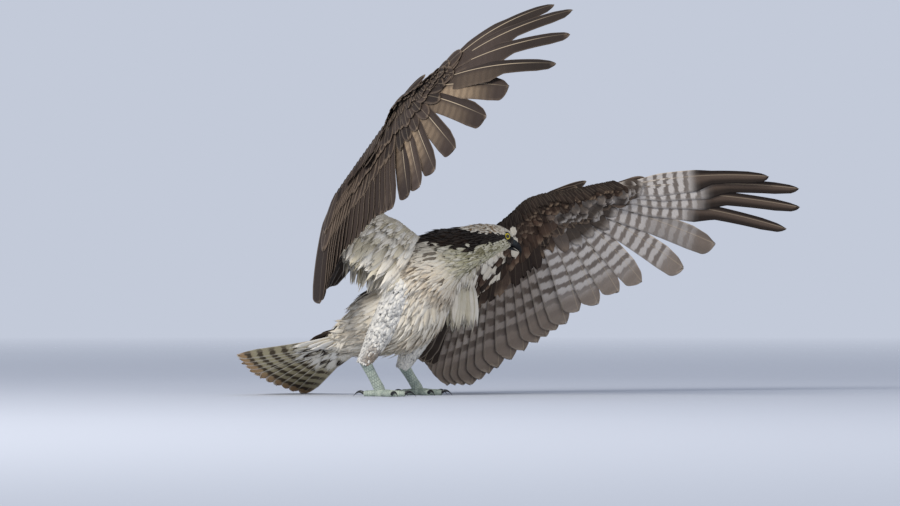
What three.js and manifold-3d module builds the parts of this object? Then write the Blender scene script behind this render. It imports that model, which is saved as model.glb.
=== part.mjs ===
// A life-size osprey that has just landed: head low and turned aside, tail fanned, both wings held up
// and swept forward. Millimetres, +Z up. X runs along the longest reach of the wings, -Y faces the viewer.
// The origin is on the floor under the left foot. Every piece is a closed solid in a mesh of its own.
import * as THREE from "three";
import { mergeVertices } from "three/addons/utils/BufferGeometryUtils.js";
import Module from "manifold-3d";

const wasm = await Module();
wasm.setup();
const V = (x, y, z) => new THREE.Vector3(x, y, z);
const DEGREES = Math.PI / 180;

// Driving sizes
const GAP = 0.35; // clearance between touching pieces
const WELD = 0.03; // edges shorter than this are drawn together
const VANE_EDGE = 0.6; // thickness of a vane along its edges
const VANE_SHAFT = 1.2; // thickness over its shaft
const TILT = 0.08; // rise of a vane towards its leading edge, so that neighbours lie like shingles
const STACK = 0.6; // each flight feather lies this much above the next one out
const FINGER_STACK = 1.1; // the same among the six outer primaries, whose shafts nearly line up
const BODY_SIDES = 20;
const LIMB_SIDES = 12;

// Trunk, neck and head in one run: middle, half width from side to side, half depth from back to belly
const TRUNK_RIGHT = V(-0.48, -0.8, 0.36).normalize(); // towards the bird's right side
const HEAD_RIGHT = V(0.55, -0.835, 0).normalize();
const HEAD_AHEAD = V(0.82, 0.55, -0.2).normalize(); // the way the bill points
const BODY = [
  { at: V(-137, -28, 99), wide: 20, deep: 15, turn: 0 },
  { at: V(-119, -32, 106), wide: 38, deep: 29, turn: 0 },
  { at: V(-90, -39, 119), wide: 51, deep: 45, turn: 0 },
  { at: V(-54, -47, 138), wide: 61, deep: 62, turn: 0 },
  { at: V(-18, -55, 160), wide: 66, deep: 67, turn: 0 },
  { at: V(4, -62, 200), wide: 66, deep: 65, turn: 0 },
  { at: V(27, -69, 231), wide: 57, deep: 61, turn: 0.05 },
  { at: V(52, -76, 250), wide: 43, deep: 51, turn: 0.2 },
  { at: V(76, -83, 261), wide: 34, deep: 42, turn: 0.45 },
  { at: V(97, -85, 269), wide: 28, deep: 37, turn: 0.7 },
  { at: V(119, -77, 276), wide: 26, deep: 33, turn: 0.9 },
  { at: V(140, -62, 280), wide: 24, deep: 27, turn: 1 },
  { at: V(157, -50, 279), wide: 20, deep: 20, turn: 1 },
  { at: V(167, -44, 276), wide: 12, deep: 12, turn: 1 },
];
const NECK_FROM = V(38, -72, 240); // planes that part the trunk, neck and head
const NECK_COURSE = V(0.85, -0.25, 0.46).normalize();
const HEAD_FROM = V(106, -82, 272);
const HEAD_COURSE = V(0.95, 0.1, 0.2).normalize();

// Bill: a hooked upper mandible over a shorter lower one
const BILL_BASE = V(167, -43, 276);
const BILL_STEPS = [0, 0.3, 0.6, 0.85, 1];
const UPPER_BILL = { ahead: 28, curl: 1.6, start: 6, hook: 21, bend: 2.4, half: 7.4, taper: 0.9, fade: 2 };
const LOWER_BILL = { ahead: 21, curl: 0, start: 15, hook: 3, bend: 1, half: 3.6, taper: 0.85, fade: 1 };
const BILL_WIDE = 8.5;
const BILL_ROOT = { back: 3, up: 4 }; // the bill starts inside the face
const EYE = { radius: 8.7, right: V(158, -68, 285), left: V(140, -40, 287) };
const LID = { reach: 7.6, out: 3.6, thick: 1.7, high: 2.72, steps: 8, lap: 1.02, forward: 0.32, sides: 6 };

// Legs: the feathered shank down to the ankle, then the bare scaly foot
const LEGS = [
  {
    side: "left",
    hip: V(24, -36, 190),
    knee: V(20, -17, 150),
    ankle: V(-26, -20, 54),
    foot: V(0, 0, 11),
    thick: [40, 30, 24, 18.5, 13.5],
    heading: -16,
  },
  {
    side: "right",
    hip: V(-18, -80, 205),
    knee: V(-29, -97, 180),
    ankle: V(-94, -104, 63),
    foot: V(-67, -97, 11),
    thick: [40, 31, 25, 19, 14],
    heading: -12,
  },
];
const TARSUS = { top: 9.6, bottom: 8.6, pad: 10.5 };
const TOES = [
  { name: "middle", turn: 2, length: 44, radius: 5.6 },
  { name: "inner", turn: 42, length: 36, radius: 5.4 },
  { name: "outer", turn: -46, length: 40, radius: 5.2 },
  { name: "hind", turn: 176, length: 29, radius: 5.4 },
];
const TOE_HEIGHT = 4.6; // height of a toe's middle over the floor
const CLAW = { reach: 21, radius: 3.9, rise: 6 };

// Wings. Feather tips lie on a plane through the wrist, at a reach along the hand bones and a chord from
// the leading to the trailing edge. Roots sit on the bones, which stand proud of that plane.
const PRIMARY_PITCH = 15; // spacing of the primaries' roots along the hand
const PRIMARY_REACH = [217, 222, 228, 248, 302, 343, 468, 490, 488, 433]; // wrist to tip, P1 to P10
const SECONDARIES = 16;
const COVERTS = { share: 0.42, lift: 6.5, half: 20, every: 2 }; // on the back of every other flight feather
const INNER = 7; // tertials and scapulars along the upper arm
const SHAPES = {
  finger: { lead: 12, trail: 30, outline: "fingered" },
  primary: { lead: 15, trail: 29, outline: "rounded" },
  secondary: { lead: 16, trail: 30, outline: "rounded" },
  inner: { lead: 18, trail: 26, outline: "rounded" },
  tail: { lead: 13, trail: 20, outline: "rounded" },
  axillar: { lead: 13, trail: 13, outline: "covert" },
  alula: { lead: 6, trail: 10, outline: "covert" },
};
const FINGERS_FROM = 6; // the primaries from this one on are emarginated
const FLIGHT_ARCH = 8; // how far a flight feather's shaft bows upwards
const WRIST = { front: 14, back: 30, thick: 16 };
const HAND_END = { front: -3, back: [8, 18], thick: 10 };
const ELBOW = { back: 26, thick: 22 };
const SHOULDER = { back: 36, thick: 28 };
const ARMPIT = 9; // depth of the axillars' roots under the arm's middle
const ALULA = [106, 86, 66]; // reach of the thumb's three feathers from the wrist
const AXILLARS = 7; // white feathers under the upper arm
const WINGS = [
  {
    side: "left",
    turn: -1,
    wrist: V(212, 107, 346),
    elbow: V(94, 113, 204),
    shoulder: V(42, -38, 225),
    foldAtElbow: V(122, 32, 290),
    foldAtShoulder: V(66, -44, 262),
    hand: V(0.985, 0.098, 0.157),
    upper: V(-0.12, 0.981, 0.15),
    handTip: [148, -15, 10],
    primaryAngle: [76.1, 66.3, 55.2, 44.9, 32.3, 21.6, 14.7, 9.8, 5.7, 2.3],
    secondaryTips: [[27, 230], [-32, 257], [-109, 292], [-162, 316], [-205, 310], [-224, 280]],
    innerTips: [V(28, 132, 46), V(-50, 42, 80)],
    axillarTips: [V(98, 84, 118), V(52, 8, 112)],
  },
  {
    side: "right",
    turn: 1,
    wrist: V(-36, -106, 512),
    elbow: V(-143, -112, 345),
    shoulder: V(-4, -88, 255),
    foldAtElbow: V(-66, -84, 338),
    foldAtShoulder: V(4, -84, 284),
    hand: V(0.612, -0.722, 0.321),
    upper: V(-0.783, -0.499, 0.371),
    handTip: [140, -16, 26],
    primaryAngle: [71.3, 62.9, 52.2, 38.9, 24.1, 14.2, 10.9, 4.7, -1, -5.9],
    secondaryTips: [[26, 213], [-22, 216], [-66, 241], [-112, 262], [-140, 318], [-150, 345]],
    innerTips: [V(-160, -152, 168), V(-160, -40, 190)],
    axillarTips: [V(-128, -118, 212), V(-84, -112, 178)],
  },
];

// Tail: twelve feathers in a half-open fan
const TAIL = {
  base: V(-119, -30, 104),
  back: V(-0.81, 0.435, -0.352),
  right: V(-0.66, -0.69, 0.3),
  count: 12,
  length: 210,
  spread: 29.5,
  level: 1.4,
};

// Solids
function solidFrom(positions, index) {
  const geometry = new THREE.BufferGeometry();
  geometry.setAttribute("position", new THREE.Float32BufferAttribute(positions, 3));
  geometry.setIndex(index);
  const merged = mergeVertices(geometry, 1e-4);
  const triVerts = new Uint32Array(merged.index.array);
  const vertProperties = new Float32Array(merged.attributes.position.array);
  const made = new wasm.Manifold(new wasm.Mesh({ numProp: 3, vertProperties, triVerts }));
  if (made.volume() > 0) return made;
  for (let i = 0; i < triVerts.length; i += 3)
    [triVerts[i + 1], triVerts[i + 2]] = [triVerts[i + 2], triVerts[i + 1]];
  return new wasm.Manifold(new wasm.Mesh({ numProp: 3, vertProperties, triVerts }));
}
const union = (solids) => wasm.Manifold.union(solids);
const largest = (solid) => solid.decompose().sort((a, b) => b.volume() - a.volume())[0];

// A closed skin over rings of points, with a hub in the middle of each end.
function skin(rings) {
  const positions = [];
  const index = [];
  const count = rings[0].length;
  rings.forEach((ring) => ring.forEach((p) => positions.push(p.x, p.y, p.z)));
  for (let i = 0; i + 1 < rings.length; i++)
    for (let j = 0; j < count; j++) {
      const a = i * count + j;
      const b = i * count + ((j + 1) % count);
      index.push(a, b, b + count, a, b + count, a + count);
    }
  [0, rings.length - 1].forEach((end) => {
    const middle = rings[end].reduce((sum, p) => sum.add(p), V(0, 0, 0)).multiplyScalar(1 / count);
    positions.push(middle.x, middle.y, middle.z);
    const hub = positions.length / 3 - 1;
    for (let j = 0; j < count; j++) {
      const pair = [end * count + j, end * count + ((j + 1) % count)];
      index.push(hub, ...(end ? pair : pair.reverse()));
    }
  });
  return solidFrom(positions, index);
}

// One oval ring about a middle, spanned by two vectors.
const oval = (middle, across, up, sides) =>
  Array.from({ length: sides }, (_, j) => {
    const turn = (2 * Math.PI * j) / sides;
    return middle.clone().addScaledVector(across, Math.cos(turn)).addScaledVector(up, Math.sin(turn));
  });

// A limb or trunk through stations, each ring held square to the course.
function lofted(stations, sideAt, sides, grow = 0) {
  const rings = stations.map((station, i) => {
    const before = stations[Math.max(i - 1, 0)].at;
    const after = stations[Math.min(i + 1, stations.length - 1)].at;
    const course = after.clone().sub(before).normalize();
    const side = sideAt(station);
    const across = side.clone().addScaledVector(course, -side.dot(course)).normalize();
    const up = across.clone().cross(course);
    const wide = across.multiplyScalar(station.wide + grow);
    return oval(station.at, wide, up.multiplyScalar(station.deep + grow), sides);
  });
  return skin(rings);
}

// A thin sheet over a grid of point pairs, upper and lower, split alike on both faces.
function sheet(grid) {
  const rows = grid.length;
  const columns = grid[0].length;
  const positions = [];
  const index = [];
  [0, 1].forEach((face) =>
    grid.forEach((row) => row.forEach((pair) => positions.push(pair[face].x, pair[face].y, pair[face].z))),
  );
  const id = (face, i, j) => (face * rows + i) * columns + j;
  const quad = (a, b, c, d) => index.push(a, b, c, a, c, d);
  for (let i = 0; i + 1 < rows; i++)
    for (let j = 0; j + 1 < columns; j++) {
      index.push(id(0, i, j), id(0, i, j + 1), id(0, i + 1, j + 1));
      index.push(id(0, i, j), id(0, i + 1, j + 1), id(0, i + 1, j));
      index.push(id(1, i, j), id(1, i + 1, j + 1), id(1, i, j + 1));
      index.push(id(1, i, j), id(1, i + 1, j), id(1, i + 1, j + 1));
    }
  for (let i = 0; i + 1 < rows; i++) {
    const last = columns - 1;
    quad(id(0, i, 0), id(0, i + 1, 0), id(1, i + 1, 0), id(1, i, 0));
    quad(id(0, i, last), id(1, i, last), id(1, i + 1, last), id(0, i + 1, last));
  }
  for (let j = 0; j + 1 < columns; j++) {
    const last = rows - 1;
    quad(id(0, 0, j), id(1, 0, j), id(1, 0, j + 1), id(0, 0, j + 1));
    quad(id(0, last, j), id(0, last, j + 1), id(1, last, j + 1), id(1, last, j));
  }
  return solidFrom(positions, index);
}

// Feather outlines: fraction of the length, share of the leading width, share of the trailing width
const OUTLINE = {
  rounded: [[0, 0.3, 0.3], [0.25, 0.85, 0.85], [0.75, 1, 1], [0.94, 0.75, 0.8], [1, 0.2, 0.25]],
  fingered: [
    [0, 0.3, 0.3],
    [0.28, 1, 1],
    [0.55, 1, 0.95],
    [0.64, 0.7, 0.56],
    [0.92, 0.56, 0.46],
    [1, 0.12, 0.12],
  ],
  covert: [[0, 0.4, 0.4], [0.4, 0.95, 0.95], [0.85, 0.9, 0.9], [1, 0.3, 0.3]],
};

// One vane: place(t, s, k) gives the point a share t along the shaft, s beside it and k above it.
function vane({ place, lead, trail, outline, grow = 0 }) {
  const grid = OUTLINE[outline].map(([t, front, back]) => {
    const columns = [lead * front + grow, 0, -trail * back - grow];
    if (outline === "covert") columns.splice(1, 1);
    return columns.map((s) => {
      const thick = (s === 0 ? VANE_SHAFT : VANE_EDGE) + 2 * grow;
      return [place(t, s, thick / 2), place(t, s, -thick / 2)];
    });
  });
  return sheet(grid);
}

// A wing's bony part between two edges: a section that is thick near the front and thin at the back.
const SECTION = [[0, 0.3], [0.2, 0.9], [0.45, 1], [0.8, 0.6], [1, 0.3]];
function airfoil(stations, grow = 0) {
  const rings = stations.map(({ front, back, up, thick }) => {
    const span = back.clone().sub(front);
    const reach = span.clone().normalize().multiplyScalar(grow);
    const half = (share) => (share * thick) / 2 + grow;
    const at = (f, k) =>
      front.clone().addScaledVector(span, f).addScaledVector(reach, f * 2 - 1).addScaledVector(up, k);
    return [
      ...SECTION.map(([f, share]) => at(f, half(share))),
      ...SECTION.map(([f, share]) => at(f, -half(share))).reverse(),
    ];
  });
  return skin(rings);
}

const mix = (a, b, f) => a.clone().lerp(b, f);
// Value at a share f of the way along a list of values
function along(list, f) {
  const at = Math.min(Math.max(f, 0), 1) * (list.length - 1);
  const i = Math.min(Math.floor(at), list.length - 2);
  return list[i] + (list[i + 1] - list[i]) * (at - i);
}

// Draws together the two ends of every edge shorter than the weld, wherever the surface stays closed.
function welded(positions, triangles) {
  const corners = (i) => Array.from(triangles.slice(3 * i, 3 * i + 3));
  let faces = Array.from({ length: triangles.length / 3 }, (_, i) => corners(i));
  const far = (a, b) => Math.hypot(...[0, 1, 2].map((c) => positions[3 * a + c] - positions[3 * b + c]));
  for (let merged = true; merged; ) {
    merged = false;
    const near = new Map();
    const meet = (a, b) => near.set(a, (near.get(a) ?? new Set()).add(b));
    faces.forEach(([a, b, c]) => [[a, b], [b, c], [c, a]].forEach(([p, q]) => [meet(p, q), meet(q, p)]));
    const touched = new Set();
    const onto = new Map();
    faces.forEach((face) =>
      face.forEach((a, i) => {
        const b = face[(i + 1) % 3];
        if (touched.has(a) || touched.has(b) || far(a, b) > WELD) return;
        const shared = [...near.get(a)].filter((one) => near.get(b).has(one));
        if (shared.length !== 2) return;
        [a, b, ...near.get(a), ...near.get(b)].forEach((one) => touched.add(one));
        onto.set(b, a);
        merged = true;
      }),
    );
    faces = faces
      .map((face) => face.map((one) => onto.get(one) ?? one))
      .filter(([a, b, c]) => a !== b && b !== c && c !== a);
  }
  return faces.flat();
}

// Where two corners of a surface touch without belonging together, each draws back towards its neighbours.
function parted(positions, faces) {
  const around = new Map();
  for (let i = 0; i < faces.length; i += 3)
    [0, 1, 2].forEach((k) => {
      const others = around.get(faces[i + k]) ?? [];
      around.set(faces[i + k], [...others, faces[i + ((k + 1) % 3)], faces[i + ((k + 2) % 3)]]);
    });
  const point = (i) => V(positions[3 * i], positions[3 * i + 1], positions[3 * i + 2]);
  const spots = new Map();
  around.forEach((_, i) => {
    const spot = point(i).toArray().map((x) => Math.round(x / (WELD / 10))).join();
    spots.set(spot, [...(spots.get(spot) ?? []), i]);
  });
  spots.forEach((corners) => {
    if (corners.length < 2) return;
    corners.forEach((i) => {
      const others = around.get(i);
      const middle = others.reduce((sum, j) => sum.add(point(j)), V(0, 0, 0)).divideScalar(others.length);
      point(i).add(middle.sub(point(i)).setLength(WELD)).toArray(positions, 3 * i);
    });
  });
}

const group = new THREE.Group();
function addNode(name, solid, color, roughness = 0.8) {
  const mesh = largest(solid).getMesh();
  const positions = new Float32Array(mesh.numVert * 3);
  for (let i = 0; i < mesh.numVert; i++)
    positions.set(mesh.vertProperties.subarray(i * mesh.numProp, i * mesh.numProp + 3), i * 3);
  const faces = welded(positions, mesh.triVerts);
  parted(positions, faces);
  const geometry = new THREE.BufferGeometry();
  geometry.setAttribute("position", new THREE.BufferAttribute(positions, 3));
  geometry.setIndex(faces);
  geometry.computeVertexNormals();
  const made = new THREE.Mesh(geometry, new THREE.MeshStandardMaterial({ color, roughness }));
  made.name = name;
  group.add(made);
}

// Trunk, neck and head
const bodySide = (station) => mix(TRUNK_RIGHT, HEAD_RIGHT, station.turn).normalize();
const body = lofted(BODY, bodySide, BODY_SIDES);
const bodyGrown = lofted(BODY, bodySide, BODY_SIDES, GAP);
const below = (solid, from, course) =>
  solid.trimByPlane(course.clone().negate().toArray(), -from.dot(course) + GAP / 2);
const above = (solid, from, course) => solid.trimByPlane(course.toArray(), from.dot(course) + GAP / 2);
addNode("torso", below(body, NECK_FROM, NECK_COURSE), 0xe6e1d6);
addNode("neck", below(above(body, NECK_FROM, NECK_COURSE), HEAD_FROM, HEAD_COURSE), 0x5a4636);
const eyeBall = (at, grow = 0) => {
  const ball = new THREE.SphereGeometry(EYE.radius + grow, 12, 8);
  ball.translate(at.x, at.y, at.z);
  ball.deleteAttribute("normal");
  ball.deleteAttribute("uv");
  return solidFrom(ball.attributes.position.array, Array.from(ball.index.array));
};
const headUp = HEAD_RIGHT.clone().cross(HEAD_AHEAD).normalize();
function mandible(shape, grow = 0) {
  const rings = BILL_STEPS.map((t) => {
    const taper = 1 - shape.taper * t ** shape.fade;
    const ahead = shape.ahead * (shape.curl ? Math.sin(t * shape.curl) : t) - BILL_ROOT.back;
    const fall = shape.start + shape.hook * t ** shape.bend - BILL_ROOT.up;
    const middle = BILL_BASE.clone().addScaledVector(HEAD_AHEAD, ahead).addScaledVector(headUp, -fall);
    const across = HEAD_RIGHT.clone().multiplyScalar(BILL_WIDE * taper + grow);
    return oval(middle, across, headUp.clone().multiplyScalar(shape.half * taper + grow), LIMB_SIDES);
  });
  return skin(rings);
}
// A lid is a thin ring of skin that rises round the eye, in two arcs that lap at their ends.
function lid(at, side) {
  const axis = HEAD_RIGHT.clone().multiplyScalar(side).addScaledVector(HEAD_AHEAD, LID.forward).normalize();
  const one = V(0, 0, 1).addScaledVector(axis, -axis.z).normalize();
  const two = axis.clone().cross(one);
  const ringAt = (turn) => {
    const out = one.clone().multiplyScalar(Math.cos(turn)).addScaledVector(two, Math.sin(turn));
    const middle = at.clone().addScaledVector(axis, LID.out).addScaledVector(out, LID.reach);
    const high = axis.clone().multiplyScalar(LID.high);
    return oval(middle, out.multiplyScalar(LID.thick), high, LID.sides);
  };
  const sweep = (Math.PI * LID.lap) / (LID.steps - 1);
  const arc = (from) => skin(Array.from({ length: LID.steps }, (_, i) => ringAt(from + sweep * i)));
  return union([arc(0), arc(Math.PI)]);
}
const headWhole = union([above(body, HEAD_FROM, HEAD_COURSE), lid(EYE.right, 1), lid(EYE.left, -1)]);
const headPits = union([
  eyeBall(EYE.left, GAP),
  eyeBall(EYE.right, GAP),
  mandible(UPPER_BILL, GAP),
  mandible(LOWER_BILL, GAP),
]);
addNode("head", headWhole.subtract(headPits), 0xd8cfc0);
addNode("eye_left", eyeBall(EYE.left), 0xd9b51c, 0.1);
addNode("eye_right", eyeBall(EYE.right), 0xd9b51c, 0.1);
addNode("bill_upper", mandible(UPPER_BILL), 0x1b1b1d, 0.4);
addNode("bill_lower", mandible(LOWER_BILL).subtract(mandible(UPPER_BILL, GAP)), 0x1b1b1d, 0.4);

// Legs and feet
const legSolids = [];
LEGS.forEach(({ side, hip, knee, ankle, foot, thick, heading }) => {
  const across = V(0.2, -1, 0).normalize();
  const stations = [hip, knee, mix(knee, ankle, 0.4), mix(knee, ankle, 0.75), ankle].map((at, i) => ({
    at,
    wide: thick[i],
    deep: thick[i] * 1.08,
  }));
  const shank = lofted(stations, () => across, LIMB_SIDES);
  const shankGrown = lofted(stations, () => across, LIMB_SIDES, GAP);
  legSolids.push(shankGrown);
  addNode(`thigh_${side}`, shank.subtract(bodyGrown), 0xe9e6df);

  const shin = foot.clone().sub(ankle).normalize();
  const tarsus = lofted(
    [
      { at: ankle.clone().addScaledVector(shin, -8), wide: TARSUS.top - 1, deep: TARSUS.top },
      { at: ankle.clone().addScaledVector(shin, 3), wide: TARSUS.top, deep: TARSUS.top + 1 },
      { at: mix(ankle, foot, 0.5), wide: TARSUS.bottom, deep: TARSUS.bottom },
      { at: foot.clone().addScaledVector(shin, -3), wide: TARSUS.bottom + 1, deep: TARSUS.bottom + 1 },
    ],
    () => across,
    LIMB_SIDES,
  );
  const padStations = [
    { at: V(foot.x, foot.y, 13), wide: 6, deep: 6 },
    { at: V(foot.x, foot.y, 7), wide: TARSUS.pad, deep: TARSUS.pad },
    { at: V(foot.x, foot.y, -3), wide: TARSUS.pad - 1, deep: TARSUS.pad - 1 },
  ];
  const toes = TOES.map((toe) => {
    const mirror = side === "left" ? -1 : 1;
    const angle = (heading + mirror * toe.turn) * DEGREES;
    const out = V(Math.cos(angle), Math.sin(angle), 0);
    const r = toe.radius;
    const reach = (f, z, radius) => ({
      at: V(foot.x, foot.y, z).addScaledVector(out, toe.length * f),
      wide: radius,
      deep: radius,
    });
    const course = [
      reach(0.05, 7, r),
      reach(0.3, 6.2, r),
      reach(0.62, TOE_HEIGHT, r),
      reach(1, TOE_HEIGHT, r * 0.85),
    ];
    return { ...toe, out, course, end: course[3].at };
  });
  const sole = (grow = 0) =>
    union([
      lofted(padStations, () => across, LIMB_SIDES, grow),
      ...toes.map((toe) => lofted(toe.course, () => V(0, 0, 1), 8, grow)),
    ]);
  addNode(`tarsus_${side}`, tarsus.subtract(union([shankGrown, sole(GAP)])), 0xb9bfae, 0.7);
  addNode(`foot_${side}`, sole().trimByPlane([0, 0, 1], 0), 0xb9bfae, 0.7);
  toes.forEach((toe) => {
    const steps = [0, 0.3, 0.6, 0.85, 1];
    const rings = steps.map((t) => {
      const middle = toe.end.clone().addScaledVector(toe.out, GAP + CLAW.reach * t);
      middle.z += CLAW.rise * Math.sin(2.4 * t) - (TOE_HEIGHT + CLAW.rise * Math.sin(2.4)) * t * t;
      const r = CLAW.radius * (1 - 0.85 * t);
      return oval(middle, V(-toe.out.y, toe.out.x, 0).multiplyScalar(r), V(0, 0, r), 6);
    });
    addNode(`claw_${toe.name}_${side}`, skin(rings).trimByPlane([0, 0, 1], 0), 0x17171a, 0.35);
  });
});

// Tail
const tailBack = TAIL.back.clone().normalize();
const tailRight = TAIL.right.clone().addScaledVector(tailBack, -TAIL.right.dot(tailBack)).normalize();
const tailUp = tailBack.clone().cross(tailRight).normalize();
const tailFeathers = Array.from({ length: TAIL.count }, (_, i) => {
  const place = (i + 0.5) / (TAIL.count / 2) - 1; // -1 on the bird's left to 1 on its right
  const angle = place * TAIL.spread * DEGREES;
  const [c, s] = [Math.cos(angle), Math.sin(angle)];
  const along = tailBack.clone().multiplyScalar(c).addScaledVector(tailRight, s);
  const beside = tailRight.clone().multiplyScalar(c).addScaledVector(tailBack, -s);
  const level = -TAIL.level * Math.floor(Math.abs(place) * (TAIL.count / 2)) - (place < 0 ? TAIL.level : 0);
  const length = TAIL.length * (1 - 0.03 * Math.abs(place));
  const outward = Math.sign(place);
  return {
    ...SHAPES.tail,
    place: (t, off, k) =>
      TAIL.base
        .clone()
        .addScaledVector(tailRight, place * 12)
        .addScaledVector(along, 4 + (length - 4) * t)
        .addScaledVector(beside, outward * off)
        .addScaledVector(tailUp, k + level + 4 + 3 * t * t),
  };
});
const rumpStations = [-6, 20, 50, 75].map((d, i) => ({
  at: TAIL.base.clone().addScaledVector(tailBack, d),
  wide: [20, 30, 44, 48][i],
  deep: [15, 13, 8, 4][i],
}));
const rump = lofted(rumpStations, () => tailRight, 16);
addNode("tail", union([rump, ...tailFeathers.map(vane)]).subtract(bodyGrown), 0x9c8a70);

// Wings
const BACK_UP = V(-0.43, 0.6, 0.68).normalize(); // square to the bird's back
const bow = (t) => 4 * t * (1 - t);
function feather({ root, tip, up, turn, level = 0, arch = 0, sweep = 0, shape }) {
  const run = tip.clone().sub(root);
  const beside = up.clone().cross(run).multiplyScalar(turn).normalize(); // towards the leading edge
  const rise = run.clone().cross(beside).multiplyScalar(turn).normalize();
  return {
    ...shape,
    place: (t, s, k) =>
      root
        .clone()
        .addScaledVector(run, t)
        .addScaledVector(beside, s + sweep * bow(t))
        .addScaledVector(rise, k + level + TILT * s + arch * bow(t)),
  };
}

// A covert lies along the first share of its flight feather, above or below it, its root in the flesh.
const covert = (over, { share, lift, half }) => ({
  lead: half,
  trail: half,
  outline: "covert",
  place: (t, s, k) => over.place(share * t, s, k + lift * (0.45 + 0.55 * Math.min(t / 0.4, 1))),
});
const coverts = (feathers) =>
  feathers.filter((_, i) => i % COVERTS.every === 0).map((over) => covert(over, COVERTS));

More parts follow.
